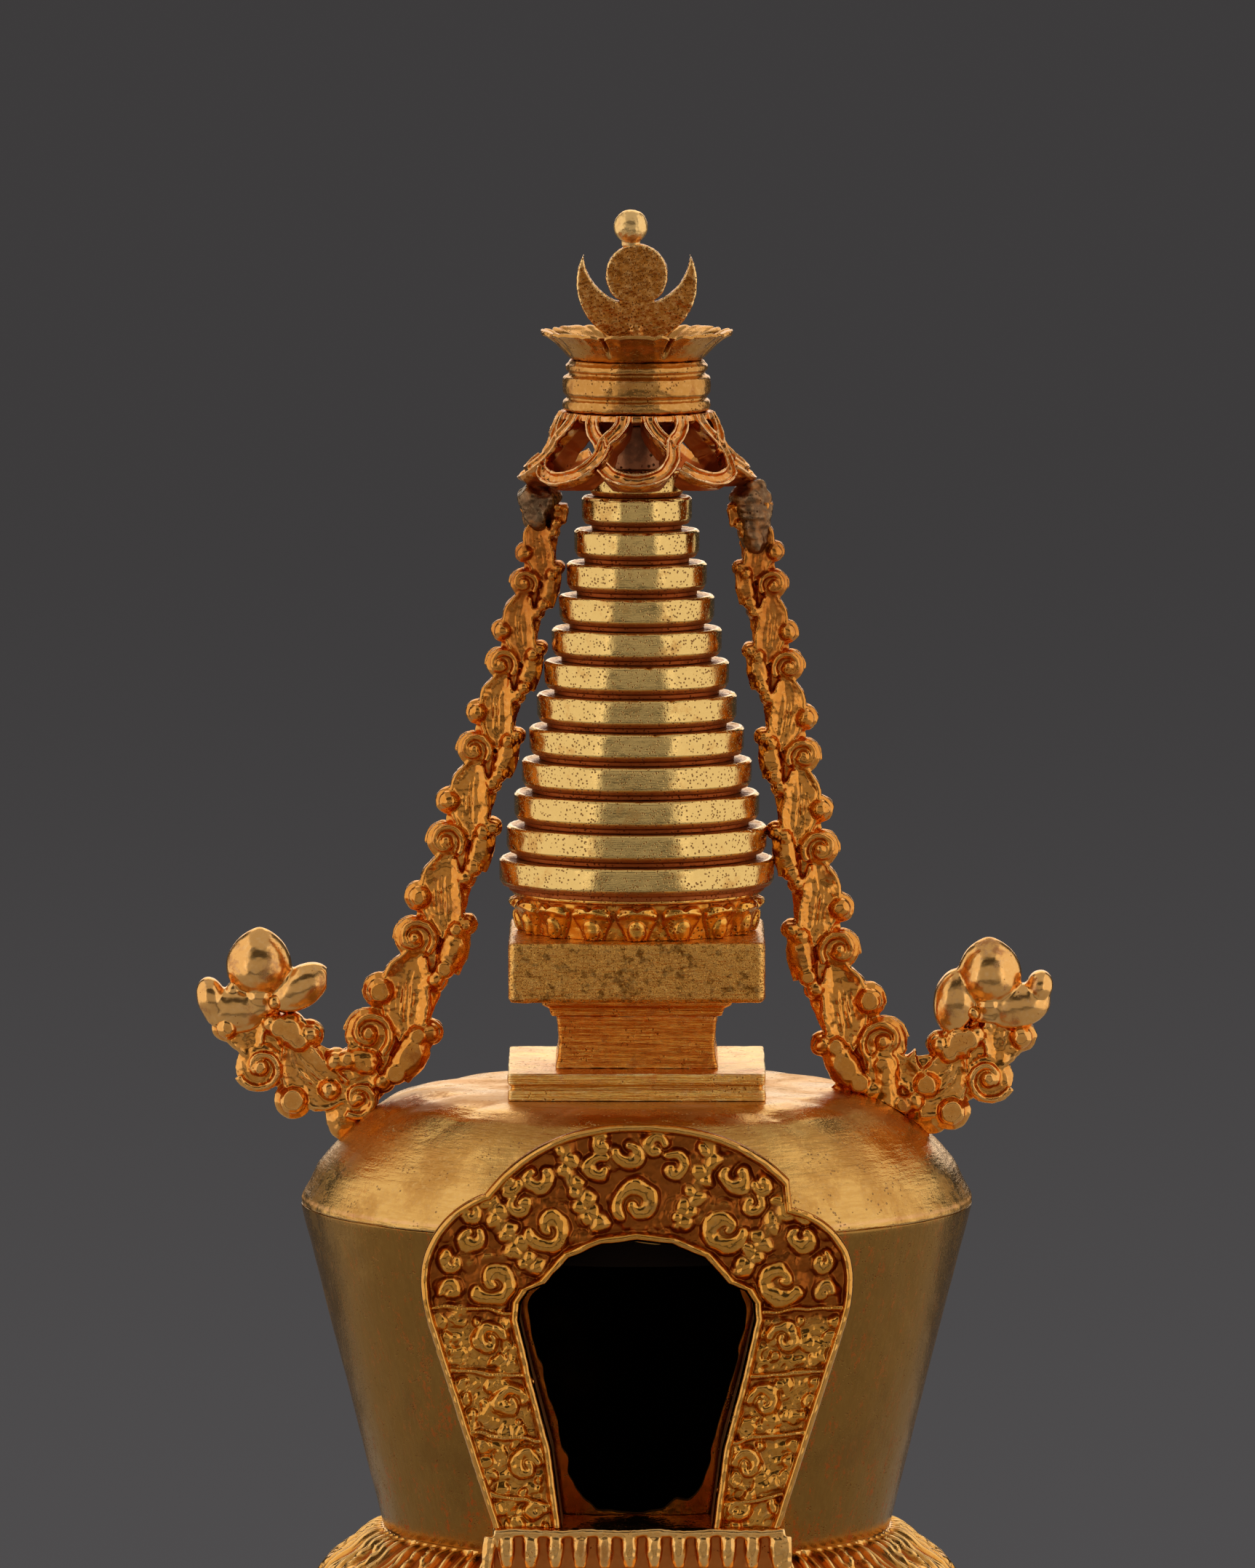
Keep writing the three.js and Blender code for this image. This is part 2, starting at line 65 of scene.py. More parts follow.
FOOT_HALF = high("base_lotus")[0]
FOOT_TOP = high("base_lotus")[2]
PLINTH_TOP = high("throne_plinth")[2]
DADO_TOP = high("throne_dado")[2]
CORNICE_TOP = high("throne_cornice")[2]
STEPS_TOP = high("throne_step_4")[2]
FLOOR_Z = high("dome_lotus")[2]
RIM_Z = high("dome_drum")[2]
RIM_R = high("dome_drum")[0]
LID_TOP = high("dome_shoulder")[2]
LIP_FOOT = low("dome_shoulder")[2]
PLINTH_HALF = high("harmika_plinth")[0]
HARMIKA_PLINTH_TOP = high("harmika_plinth")[2]
NECK_TOP = high("harmika_neck")[2]
MOULDING_TOP = high("harmika_moulding")[2]
BLOCK_TOP = high("harmika_block")[2]
BLOCK_HALF = high("harmika_block")[0]
COLLAR_TOP = high("spire_lotus")[2]
COLLAR_R = high("spire_lotus")[0]
SKIRT_LOW = low("parasol_skirt")[2]
SKIRT_TOP = high("parasol_skirt")[2]
BAND_TOP = high("parasol_band")[2]
CROWN_TOP = high("crown_lotus")[2]
CROWN_R = high("crown_lotus")[0]
NICHE_FLOOR = low("niche_frame")[2]
PLATE_FRONT = low("niche_frame")[1]
PLATE_BACK = high("niche_frame")[1]
SILL_HALF = high("niche_sill")[0]
SILL_LOW = low("niche_sill")[2]
SILL_FRONT = low("niche_sill")[1]

# what the boxes don't say
BORE_R = 1.9
DRUM_FOOT_R = 19.2
DRUM_WALL = 1.2
LIP_OUTER_R = 23.2
LIP_INNER_R = 22.2
LID_CURVE = [
    [14.5, LID_TOP], [16.8, 93.0], [18.8, 92.4], [20.2, 91.5], [21.5, 90.4], [23.1, 88.8],
    [24.2, 87.5],
]
LID_SHOULDER = [25, 86.1]
ARCH_PEAK = 93.6
WINDOW_LEG = [[5.55, NICHE_FLOOR], [6.3, 69.2], [7.7, 74.6], [8.7, 79]]
WINDOW_CROWN = [
    [8.7, 79], [8.6, 80.2], [8.0, 81.1], [6.7, 81.6], [6.2, 82.2], [5, 83.5], [2.6, 84.5],
    [0, 84.8],
]
DISC_COUNT = 13
COLLAR_PETALS = 16
SKIRT_LOBES = 8
CROWN_PETALS = 8
LOTUS_PETALS = 18
FOOT_PETALS = 11


# ------------------------------------------------------------------ numpy shape helpers
def smoothstep(x, start, end):
    """0 below start, 1 above end, smooth between."""
    t = np.clip((x - start) / (end - start), 0, 1)
    return t * t * (3 - 2 * t)


def ripple(points, wavelength, seed, waves=14):
    """Smooth seeded noise at points (n, 3), about -1 to 1, with features of the wavelength."""
    rng = np.random.default_rng(seed)
    directions = rng.normal(size=(waves, 3))
    directions /= np.linalg.norm(directions, axis=1)[:, None]
    pitch = TAU / (wavelength * rng.uniform(0.7, 1.5, waves))
    phases = rng.uniform(0, TAU, waves)
    return np.sin((points @ directions.T) * pitch + phases).sum(1) / math.sqrt(waves)


def swells(points, *waves):
    """Sum of ripples, each given as (height, wavelength, seed)."""
    return sum(height * ripple(points, wavelength, seed) for height, wavelength, seed in waves)


def rounded(profile, radius, steps=4):
    """Polyline with its inner corners eased by short curves."""
    points = [np.array(p, float) for p in profile]
    out = [points[0]]
    for before, corner, after in zip(points, points[1:], points[2:]):
        cut_a = min(radius, np.linalg.norm(before - corner) * 0.45)
        cut_b = min(radius, np.linalg.norm(after - corner) * 0.45)
        a = corner + (before - corner) / np.linalg.norm(before - corner) * cut_a
        b = corner + (after - corner) / np.linalg.norm(after - corner) * cut_b
        for t in np.linspace(0, 1, steps + 1):
            out.append((1 - t) ** 2 * a + 2 * t * (1 - t) * corner + t * t * b)
    out.append(points[-1])
    return np.array(out)


def dense(line, step):
    """The same line with points no further apart than step."""
    out = [line[0]]
    for a, b in zip(line, line[1:]):
        n = max(1, int(math.ceil(np.linalg.norm(b - a) / step)))
        out.extend(a + (b - a) * k / n for k in range(1, n + 1))
    return np.array(out)


def spline(points, n):
    """n points on a smooth curve through the given ones."""
    p = np.array(points, float)
    p = np.vstack([2 * p[0] - p[1], p, 2 * p[-1] - p[-2]])
    u = np.linspace(0, len(p) - 3 - 1e-9, n)
    i = u.astype(int)
    t = (u - i)[:, None]
    a, b, c, d = p[i], p[i + 1], p[i + 2], p[i + 3]
    return 0.5 * (2 * b + (c - a) * t + (2 * a - 5 * b + 4 * c - d) * t ** 2
                  + (3 * b - a - 3 * c + d) * t ** 3)


def grid_faces(rows, cols, wrap_rows, wrap_cols):
    """Four-sided faces between neighbours of a grid of points, numbered row by row."""
    r = np.arange(rows if wrap_rows else rows - 1)
    c = np.arange(cols if wrap_cols else cols - 1)
    r, c = np.meshgrid(r, c, indexing="ij")
    r2, c2 = (r + 1) % rows, (c + 1) % cols
    quads = np.stack([r * cols + c, r * cols + c2, r2 * cols + c2, r2 * cols + c], -1)
    return quads.reshape(-1, 4)


def capped_faces(rows, cols):
    """Faces of a closed bar: rings of cols points, and a cap on the first and last ring."""
    last = (rows - 1) * cols
    caps = [list(range(cols))[::-1], list(range(last, last + cols))]
    return grid_faces(rows, cols, False, True).tolist() + caps


def revolve(profile, columns):
    """Grid (rows, columns, 3) of a profile of [radius, height] turned round the axis."""
    angle = column_angles(columns)
    r, z = profile[:, 0][:, None], profile[:, 1][:, None]
    return np.stack([r * np.sin(angle), -r * np.cos(angle), z + 0 * angle], -1)


def column_angles(columns):
    """The angle of each column of a turned grid."""
    return np.linspace(0, TAU, columns, endpoint=False)


def turned(profile, ease, step, columns):
    """Grid of a profile of [radius, height] with eased corners, turned as on a lathe."""
    return revolve(dense(rounded(profile, ease), step), columns)


def square_path(per_side, per_corner):
    """Unit walk round a square: side positions (-1 to 1), side directions and corner angles."""
    walk = []
    for side in range(4):
        turn = side * math.pi / 2
        for t in np.linspace(-1, 1, per_side):
            walk.append((turn, t, 0.0))
        for a in np.linspace(0, math.pi / 2, per_corner + 2)[1:-1]:
            walk.append((turn, 1.0, a))
    return np.array(walk)


def square_loft(profile, corner, per_side, per_corner=6):
    """Grid (rows, columns, 3) of a profile of [half width, height] run round a square.
    Also gives each column's place along its side, from -1 to 1."""
    walk = square_path(per_side, per_corner)
    turn, along, bend = walk[:, 0], walk[:, 1], walk[:, 2]
    rows = []
    for half, z in profile:
        flat = half - corner
        x = flat * along + corner * np.sin(bend)
        y = -flat - corner * np.cos(bend)
        rows.append(np.stack([
            x * np.cos(turn) - y * np.sin(turn), x * np.sin(turn) + y * np.cos(turn),
            np.full_like(x, z),
        ], -1))
    return np.array(rows), along


def outward(grid, wrap_cols=True):
    """Unit normals of a grid, by differences along its rows and columns."""
    if wrap_cols:
        across = np.roll(grid, -1, 1) - np.roll(grid, 1, 1)
    else:
        across = np.gradient(grid, axis=1)
    down = np.gradient(grid, axis=0)
    n = np.cross(across, down)
    return n / np.maximum(np.linalg.norm(n, axis=2), 1e-9)[..., None]


def pushed(grid, push):
    """The grid with its points moved outwards by push, a number per point."""
    return grid + outward(grid) * push.reshape(grid.shape[:2])[..., None]


def widened(grid, scale):
    """The grid with its distances from the axis multiplied by scale."""
    return grid * np.stack([scale, scale, np.ones_like(scale)], -1)


def axis_distance(points):
    """Distances of points from the upright axis."""
    return np.hypot(points[..., 0], points[..., 1])


def tube(path, radius, sides=10):
    """Closed round tube along a path (n, 3); radius is a number or one per point."""
    path = np.array(path, float)
    radius = np.broadcast_to(radius, (len(path),)).astype(float)
    tangent = np.gradient(path, axis=0)
    tangent /= np.maximum(np.linalg.norm(tangent, axis=1), 1e-9)[:, None]
    side = np.cross(tangent, np.array([0.13, 1.0, 0.07]))
    side /= np.maximum(np.linalg.norm(side, axis=1), 1e-9)[:, None]
    up = np.cross(side, tangent)
    a = np.linspace(0, TAU, sides, endpoint=False)
    rings = (path[:, None] + radius[:, None, None]
             * (np.cos(a)[:, None] * side[:, None] + np.sin(a)[:, None] * up[:, None]))
    return rings.reshape(-1, 3), capped_faces(len(path), sides)


def ball(centre, radii, tilt=0.0, rows=22, cols=34):
    """Closed ellipsoid; tilt turns it in the plane of the picture, about Y."""
    v = np.linspace(0, math.pi, rows)[1:-1]
    a = np.linspace(0, TAU, cols, endpoint=False)
    rx, ry, rz = np.broadcast_to(radii, (3,))
    x = rx * np.outer(np.sin(v), np.cos(a)).ravel()
    y = ry * np.outer(np.sin(v), np.sin(a)).ravel()
    z = rz * np.outer(np.cos(v), np.ones(cols)).ravel()
    points = np.vstack([np.stack([x, y, z], -1), [[0, 0, rz], [0, 0, -rz]]])
    c, s = math.cos(tilt), math.sin(tilt)
    turned = np.stack([points[:, 0] * c - points[:, 2] * s, points[:, 1],
                       points[:, 0] * s + points[:, 2] * c], -1)
    n = (rows - 2) * cols
    faces = grid_faces(rows - 2, cols, False, True).tolist()
    faces += [[k, n, (k + 1) % cols] for k in range(cols)]
    last = n - cols
    faces += [[last + (k + 1) % cols, n + 1, last + k] for k in range(cols)]
    return turned + np.array(centre, float), faces


def slab(outline, front, back):
    """Closed plate with an outline of [x, z], from y = front to y = back."""
    outline = np.array(outline, float)
    flat = np.insert(outline, 1, front, axis=1)
    deep = np.insert(outline, 1, back, axis=1)
    return np.vstack([flat, deep]), capped_faces(2, len(outline))


# ------------------------------------------------------------------ mesh pieces
def mesh_from(name, points, faces):
    """A mesh of points (n, 3) and faces given as lists of point numbers."""
    mesh = bpy.data.meshes.new(name)
    faces = faces.tolist() if isinstance(faces, np.ndarray) else faces
    mesh.from_pydata(np.asarray(points, float).tolist(), [], faces)
    mesh.update()
    return mesh


def mesh_arrays(mesh):
    """The mesh's points, its edges as pairs of point numbers, and its point normals."""
    points = np.empty(len(mesh.vertices) * 3)
    mesh.vertices.foreach_get("co", points)
    edges = np.empty(len(mesh.edges) * 2, int)
    mesh.edges.foreach_get("vertices", edges)
    normals = np.empty(len(mesh.vertices) * 3)
    mesh.vertex_normals.foreach_get("vector", normals)
    return points.reshape(-1, 3), edges.reshape(-1, 2), normals.reshape(-1, 3)


def set_points(mesh, points):
    """The same mesh with its points moved."""
    mesh.vertices.foreach_set("co", np.asarray(points, float).ravel())
    mesh.update()
    return mesh


def relaxed(points, edges, passes):
    """Points moved towards the mean of their neighbours, some number of times."""
    n = len(points)
    a, b = edges[:, 0], edges[:, 1]
    count = np.maximum(np.bincount(a, minlength=n) + np.bincount(b, minlength=n), 1)
    for _ in range(passes):
        total = np.stack([
            np.bincount(a, points[b, k], n) + np.bincount(b, points[a, k], n) for k in range(3)
        ], -1)
        points = 0.5 * points + 0.5 * total / count[:, None]
    return points


def modified(mesh, kind, **settings):
    """The mesh after one modifier."""
    holder = bpy.data.objects.new("working", mesh)
    bpy.context.scene.collection.objects.link(holder)
    modifier = holder.modifiers.new("step", kind)
    for key, value in settings.items():
        setattr(modifier, key, value)
    graph = bpy.context.evaluated_depsgraph_get()
    result = bpy.data.meshes.new_from_object(holder.evaluated_get(graph), depsgraph=graph)
    bpy.data.objects.remove(holder)
    return result


def fused(name, solids, voxel, passes):
    """Overlapping closed solids cast into one skin, softened by a number of passes."""
    points, faces, start = [], [], 0
    for solid_points, solid_faces in solids:
        points.append(solid_points)
        faces += [[start + k for k in face] for face in solid_faces]
        start += len(solid_points)
    mesh = mesh_from(name, np.vstack(points), faces)
    mesh = modified(mesh, "REMESH", mode="VOXEL", voxel_size=voxel)
    at, edges, _ = mesh_arrays(mesh)
    return set_points(mesh, relaxed(at, edges, passes))


def uneven(mesh, *waves):
    """The mesh with swells of (height, wavelength, seed) raised on its surface."""
    points, _, normals = mesh_arrays(mesh)
    return set_points(mesh, points + normals * swells(points, *waves)[:, None])


def clamped(mesh, lowest, highest):
    """The mesh with its points held inside a box."""
    return set_points(mesh, np.clip(mesh_arrays(mesh)[0], lowest, highest))


def add_relief(mesh, passes, depth):
    """Stores how far each vertex stands out of (1) or lies in (0) its surroundings, 0.5 level; the
    finishes paint highlight on what stands out and shade in what lies in.
    """
    points, edges, normals = mesh_arrays(mesh)
    hollow = ((relaxed(points, edges, passes) - points) * normals).sum(1)
    store(mesh, "relief", np.clip(0.5 - 0.5 * hollow / depth, 0, 1))


def store(mesh, name, values):
    """Keeps one number per vertex for the finish to read."""
    layer = mesh.attributes.get(name) or mesh.attributes.new(name, "FLOAT", "POINT")
    layer.data.foreach_set("value", np.asarray(values, np.float32))


def faced_outward(mesh):
    """Turns the faces of a closed skin so that they face out."""
    mesh.calc_loop_triangles()
    corners = np.empty(len(mesh.loop_triangles) * 3, int)
    mesh.loop_triangles.foreach_get("vertices", corners)
    points, _, _ = mesh_arrays(mesh)
    a, b, c = (points[corners.reshape(-1, 3)[:, k]] for k in range(3))
    if (a * np.cross(b, c)).sum() < 0:
        mesh.flip_normals()
    return mesh


def piece(name, mesh, material, body, node, passes, depth, painted_shade=None, hollow=None):
    """A finished piece: the mesh goes from mm to m, gets its relief, finish and place.
    The two optional functions of the points, if given, say how far each point is painted black as
    shade (inside the chamber and under the lid) and how far its relief colour is pushed towards
    the finish's deep tone (painted shade on most pieces, wear on the lid's top and seam)."""
    faced_outward(mesh)
    add_relief(mesh, passes, depth)
    points, _, _ = mesh_arrays(mesh)
    # Where hollow says so, the relief is pushed towards the deep tone: painted shade on most
    # pieces, wear on the lid
    if hollow is not None:
        relief = np.empty(len(points), np.float32)
        mesh.attributes["relief"].data.foreach_get("value", relief)
        store(mesh, "relief", relief * (1 - hollow(points)))
    # Points in shade inside the chamber and under the lid are marked to be painted black
    if painted_shade is not None:
        store(mesh, "painted_shade", painted_shade(points))
    set_points(mesh, points * MM)
    mesh.polygons.foreach_set("use_smooth", np.ones(len(mesh.polygons), bool))
    mesh.materials.clear()
    mesh.materials.append(material)
    mesh.name = name
    made = bpy.data.objects.new(name, mesh)
    bpy.context.scene.collection.objects.link(made)
    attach(made, body)
    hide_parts(node)
    return made


def ring_mesh(name, grid):
    """The mesh of a grid that closes on itself both ways."""
    return mesh_from(name, grid.reshape(-1, 3), grid_faces(*grid.shape[:2], True, True))


def bar_mesh(name, grid):
    """The mesh of a grid of rings, closed by a cap at each end."""
    return mesh_from(name, grid.reshape(-1, 3), capped_faces(*grid.shape[:2]))


# ------------------------------------------------------------------ materials
# Black that the finishes paint as shade inside the chamber and under the lid
PAINTED_SHADE_BLACK = (0.006, 0.003, 0.002)


class Shader:
    """Short names for building one material's nodes."""

    def __init__(self, name):
        self.material = bpy.data.materials.new(name)
        self.material.use_nodes = True
        self.tree = self.material.node_tree
        self.tree.nodes.clear()

    def node(self, kind, settings=None, **inputs):
        """A node; inputs are values or sockets, named by socket, or by i and its number."""
        made = self.tree.nodes.new(kind)
        for key, value in (settings or {}).items():
            setattr(made, key, value)
        for key, value in inputs.items():
            numbered = key[0] == "i" and key[1:].isdigit()
            socket = made.inputs[int(key[1:]) if numbered else key.replace("_", " ")]
            if isinstance(value, bpy.types.NodeSocket):
                self.tree.links.new(value, socket)
            else:
                socket.default_value = value
        return made

    def math(self, operation, a, b=0.0, clamp=False):
        """One arithmetic step on values or sockets."""
        settings = {"operation": operation, "use_clamp": clamp}
        return self.node("ShaderNodeMath", settings, i0=a, i1=b).outputs[0]

    def step(self, value, start, end):
        """0 below start, 1 above end, smooth between; start may be the larger."""
        settings = {"interpolation_type": "SMOOTHSTEP"}
        if start < end:
            low_high = (start, end, 0.0, 1.0)
        else:
            low_high = (end, start, 1.0, 0.0)
        return self.node("ShaderNodeMapRange", settings, i0=value, i1=low_high[0],
                         i2=low_high[1], i3=low_high[2], i4=low_high[3]).outputs[0]

    def mix(self, share, a, b):
        """Colour a, giving way to colour b as share goes from 0 to 1."""
        colours = [c if isinstance(c, bpy.types.NodeSocket) else (*c, 1.0) for c in (a, b)]
        return self.node("ShaderNodeMix", {"data_type": "RGBA"}, i0=share, i6=colours[0],
                         i7=colours[1]).outputs[2]

    def noise(self, vector, size, detail=4.0, rough=0.55):
        """Noise with features of the size, around 0.5."""
        made = self.node("ShaderNodeTexNoise", None, Vector=vector, Scale=1 / size,
                         Detail=detail, Roughness=rough)
        return made.outputs[0]

    def stored(self, name):
        """The number that the mesh keeps under this name at each vertex."""
        return self.node("ShaderNodeAttribute", {"attribute_name": name}).outputs["Fac"]

    def stretched(self, vector, scale):
        """The vector with each axis scaled on its own."""
        return self.node("ShaderNodeVectorMath", {"operation": "MULTIPLY"}, i0=vector,
                         i1=scale).outputs[0]


def tarnish_mask(s, mm, fine, patch, patches):
    """1 in the tarnished patches."""
    broad = s.noise(mm, patch, 5.0, 0.6)
    return s.step(s.math("ADD", broad, s.math("MULTIPLY", fine, 0.35)),
                  0.86 - 0.4 * patches, 0.98 - 0.3 * patches)


def run_mask(s, mm, fine):
    """1 in the red stains that run downwards, where the mesh says there are any."""
    run = s.noise(s.stretched(mm, (1.0, 1.0, 0.35)), 1.1, 6.0, 0.75)
    run = s.math("MULTIPLY", s.step(run, 0.5, 0.62), s.step(fine, 0.42, 0.62))
    return s.math("MULTIPLY", run, s.stored("stain"))


def pore_mask(s, mm, pit, pits):
    """1 in the pores of the casting."""
    cells = s.node("ShaderNodeTexVoronoi", None, Vector=mm, Scale=1 / pit, Randomness=1.0)
    return s.math("MULTIPLY", s.step(cells.outputs["Distance"], 0.34, 0.16),
                  s.step(s.noise(mm, pit * 5, 2.0), 0.66 - 0.3 * pits, 0.72 - 0.3 * pits))


def surface(s, fine, micro, scoring, scored, pore, texture):
    """Normal of the worn surface, texture mm deep."""
    height = s.math("ADD", s.math("MULTIPLY", fine, 0.7), s.math("MULTIPLY", micro, 0.25))
    height = s.math("ADD", height, s.math("MULTIPLY", scoring, scored))
    height = s.math("SUBTRACT", height, s.math("MULTIPLY", pore, 1.6))
    bump = s.node("ShaderNodeBump", None, Strength=1.0, Distance=texture * MM, Height=height)
    return bump.outputs[0]


def gilt(name, body, light, deep, tarnish, shine=0.2, dull=0.42, patch=3.0, patches=0.35,
         pit=0.2, pits=0.2, grain=(1, 1, 1), scored=0.3, texture=0.02, relief=True,
         streak=None, micro_rough=0.08, ridges=0.55, hollows=0.9, streaky=0.0):
    """Worn gilding. body, light, deep and tarnish are colours of the flats, the ridges, the
    hollows and the patches; shine and dull are the roughness of clean and worn metal; patch and
    pit are sizes in mm; patches and pits say how much of each; grain stretches the scoring,
    scored is its depth and streaky its darkness; texture is the depth of the fine surface in
    mm; streak adds red stains that run downwards; ridges and hollows say how far the relief
    shows in the colour, as the light tone on ridges (partly polish, partly painted highlight)
    and the deep tone in hollows (partly residue, partly painted shade)."""
    s = Shader(name)
    place = s.node("ShaderNodeTexCoord").outputs["Object"]
    mm = s.node("ShaderNodeVectorMath", {"operation": "SCALE"}, i0=place,
                Scale=1 / MM).outputs[0]
    fine = s.noise(mm, 0.35, 4.0, 0.65)
    micro = s.noise(mm, 0.09, 2.0, 0.6)
    scoring = s.noise(s.stretched(mm, grain), 0.5, 3.0, 0.6)
    stain = tarnish_mask(s, mm, fine, patch, patches)
    colour = s.mix(stain, body, tarnish)
    colour = s.mix(s.math("MULTIPLY", s.step(fine, 0.45, 0.75), 0.35), colour, light)
    if streaky:
        lines = s.math("MULTIPLY", s.step(scoring, 0.42, 0.62), streaky)
        colour = s.mix(lines, colour, tarnish)
    rough = s.math("ADD", shine, s.math("MULTIPLY", stain, (dull - shine) * 0.6))
    # Painted highlight and shade from the relief: ridges lightened, hollows darkened and dulled,
    # over the real polish and residue of the gilding
    if relief:
        level = s.math("ADD", s.stored("relief"),
                       s.math("MULTIPLY", s.math("SUBTRACT", fine, 0.5), 0.12))
        ridge = s.math("MULTIPLY", s.step(level, 0.56, 0.85), ridges)
        hollow = s.math("MULTIPLY", s.step(level, 0.46, 0.16), hollows)
        colour = s.mix(ridge, colour, light)
        colour = s.mix(hollow, colour, deep)
        rough = s.math("ADD", rough, s.math("MULTIPLY", hollow, dull - shine))
        rough = s.math("SUBTRACT", rough, s.math("MULTIPLY", ridge, 0.05))
    if streak:
        run = run_mask(s, mm, fine)
        colour = s.mix(run, colour, streak)
        rough = s.math("ADD", rough, s.math("MULTIPLY", run, 0.2))
    pore = pore_mask(s, mm, pit, pits)
    colour = s.mix(s.math("MULTIPLY", pore, 0.75), colour, tuple(c * 0.45 for c in deep))
    rough = s.math("ADD", rough, s.math("MULTIPLY", s.math("SUBTRACT", micro, 0.5),
                                       micro_rough))
    rough = s.math("ADD", rough, s.math("MULTIPLY", pore, 0.3), clamp=True)
    # Points marked as painted shade turn black, matte and non-metallic
    painted_shade = s.stored("painted_shade")
    metal = s.node("ShaderNodeBsdfPrincipled", None, Base_Color=s.mix(painted_shade, colour, PAINTED_SHADE_BLACK),
                   Roughness=s.math("MAXIMUM", rough, painted_shade),
                   Metallic=s.math("SUBTRACT", 1.0, painted_shade), Specular_IOR_Level=0.1,
                   Specular_Tint=(1.0, 0.88, 0.7, 1.0),
                   Normal=surface(s, fine, micro, scoring, scored, pore, texture))
    s.node("ShaderNodeOutputMaterial", None, Surface=metal.outputs[0])
    return s.material


# ------------------------------------------------------------------ finishes
def ring_gilt():
    return gilt("ring_gilt", (0.74, 0.47, 0.15), (0.84, 0.56, 0.2), (0.34, 0.05, 0.006),
                (0.64, 0.34, 0.09), shine=0.09, dull=0.5, patch=2.2, pit=0.26, pits=1.0,
                grain=(0.5, 0.5, 6), scored=0.5, texture=0.016, micro_rough=0.05)


def shoulder_gilt():
    return gilt("shoulder_gilt", (0.7, 0.38, 0.1), (0.9, 0.58, 0.22), (0.88, 0.47, 0.2),
                (0.52, 0.24, 0.05), shine=0.16, dull=0.5, patch=7, patches=0.6, pit=0.3, pits=0.3,
                grain=(0.3, 0.3, 2.2), scored=2.0, texture=0.03, streaky=0.35,
                streak=(0.52, 0.17, 0.02))


def drum_gilt():
    return gilt("drum_gilt", (0.28, 0.135, 0.028), (0.38, 0.19, 0.045), (0.3, 0.09, 0.02),
                (0.21, 0.1, 0.022), shine=0.22, dull=0.44, patch=8, patches=0.42, pit=0.22,
                pits=0.3, grain=(1.6, 1.6, 0.22), scored=1.2, texture=0.018,
                streak=(0.42, 0.09, 0.015), streaky=0.3)


def arch_gilt():
    return gilt("arch_gilt", (0.64, 0.27, 0.04), (0.9, 0.5, 0.15), (0.28, 0.055, 0.006),
                (0.46, 0.2, 0.04), shine=0.14, dull=0.36, patches=0.3, pits=0.15, texture=0.01,
                ridges=0.35, hollows=0.88)


# The bright light tone on the drops' raised parts is mostly painted highlight
def sill_gilt():
    return gilt("sill_gilt", (0.84, 0.42, 0.11), (1.0, 0.64, 0.26), (0.46, 0.1, 0.012),
                (0.62, 0.26, 0.06), shine=0.17, patches=0.3, texture=0.012, ridges=0.8,
                hollows=0.85)


def lotus_gilt():
    return gilt("lotus_gilt", (0.76, 0.33, 0.055), (0.95, 0.55, 0.18), (0.4, 0.07, 0.008),
                (0.6, 0.22, 0.04), patch=4, pit=0.25, texture=0.012, ridges=0.7, hollows=0.85)


def warm_gilt():
    return gilt("warm_gilt", (0.8, 0.34, 0.045), (0.95, 0.55, 0.15), (0.4, 0.09, 0.01),
                (0.6, 0.2, 0.03), shine=0.22, patch=2.5, pit=0.34, pits=0.8, texture=0.03)


def scored_gilt(name, body, light, tarnish, patches, streaky):
    """Metal scored along its faces by a file."""
    return gilt(name, body, light, (0.5, 0.14, 0.02), tarnish, patch=1.6, patches=patches, pit=0.3,
                pits=0.4, grain=(0.12, 0.12, 3.5), scored=3.4, texture=0.065, streaky=streaky)


def filed_gilt():
    return scored_gilt("filed_gilt", (1.0, 0.46, 0.075), (1.0, 0.7, 0.25), (0.66, 0.19, 0.02),
                       0.35, 0.85)


def plinth_gilt():
    return scored_gilt("plinth_gilt", (1.0, 0.57, 0.13), (1.0, 0.8, 0.42), (0.82, 0.3, 0.045),
                       0.25, 0.6)


def block_gilt():
    return gilt("block_gilt", (0.78, 0.36, 0.07), (0.98, 0.56, 0.17), (0.36, 0.11, 0.012),
                (0.24, 0.09, 0.012), shine=0.17, patch=0.55, patches=0.5, pits=1.0,
                grain=(0.5, 0.5, 2), scored=1.2, texture=0.11)


def wax_gilt():
    return gilt("wax_gilt", (0.7, 0.26, 0.04), (0.92, 0.48, 0.14), (0.36, 0.07, 0.008),
                (0.55, 0.17, 0.025), shine=0.18, dull=0.4, patch=1.8, pits=0.15, texture=0.01,
                hollows=0.75)


# The whitish light tone on the band crests is mostly painted highlight
def skirt_gilt():
    return gilt("skirt_gilt", (0.66, 0.25, 0.05), (1.0, 0.74, 0.42), (0.38, 0.06, 0.008),
                (0.5, 0.15, 0.03), shine=0.15, dull=0.45, patch=1.8, patches=0.3, texture=0.01,
                ridges=0.9)


def flower_gilt():
    return gilt("flower_gilt", (0.84, 0.42, 0.12), (0.98, 0.62, 0.28), (0.5, 0.12, 0.012),
                (0.5, 0.2, 0.06), patch=2.2, pit=0.25, pits=0.15, texture=0.006, hollows=0.45)


def crown_gilt():
    return gilt("crown_gilt", (0.52, 0.23, 0.05), (0.85, 0.46, 0.16), (0.28, 0.07, 0.01),
                (0.4, 0.14, 0.025), shine=0.22, dull=0.45, patch=2.0, patches=0.4, pit=0.25,
                pits=0.5)


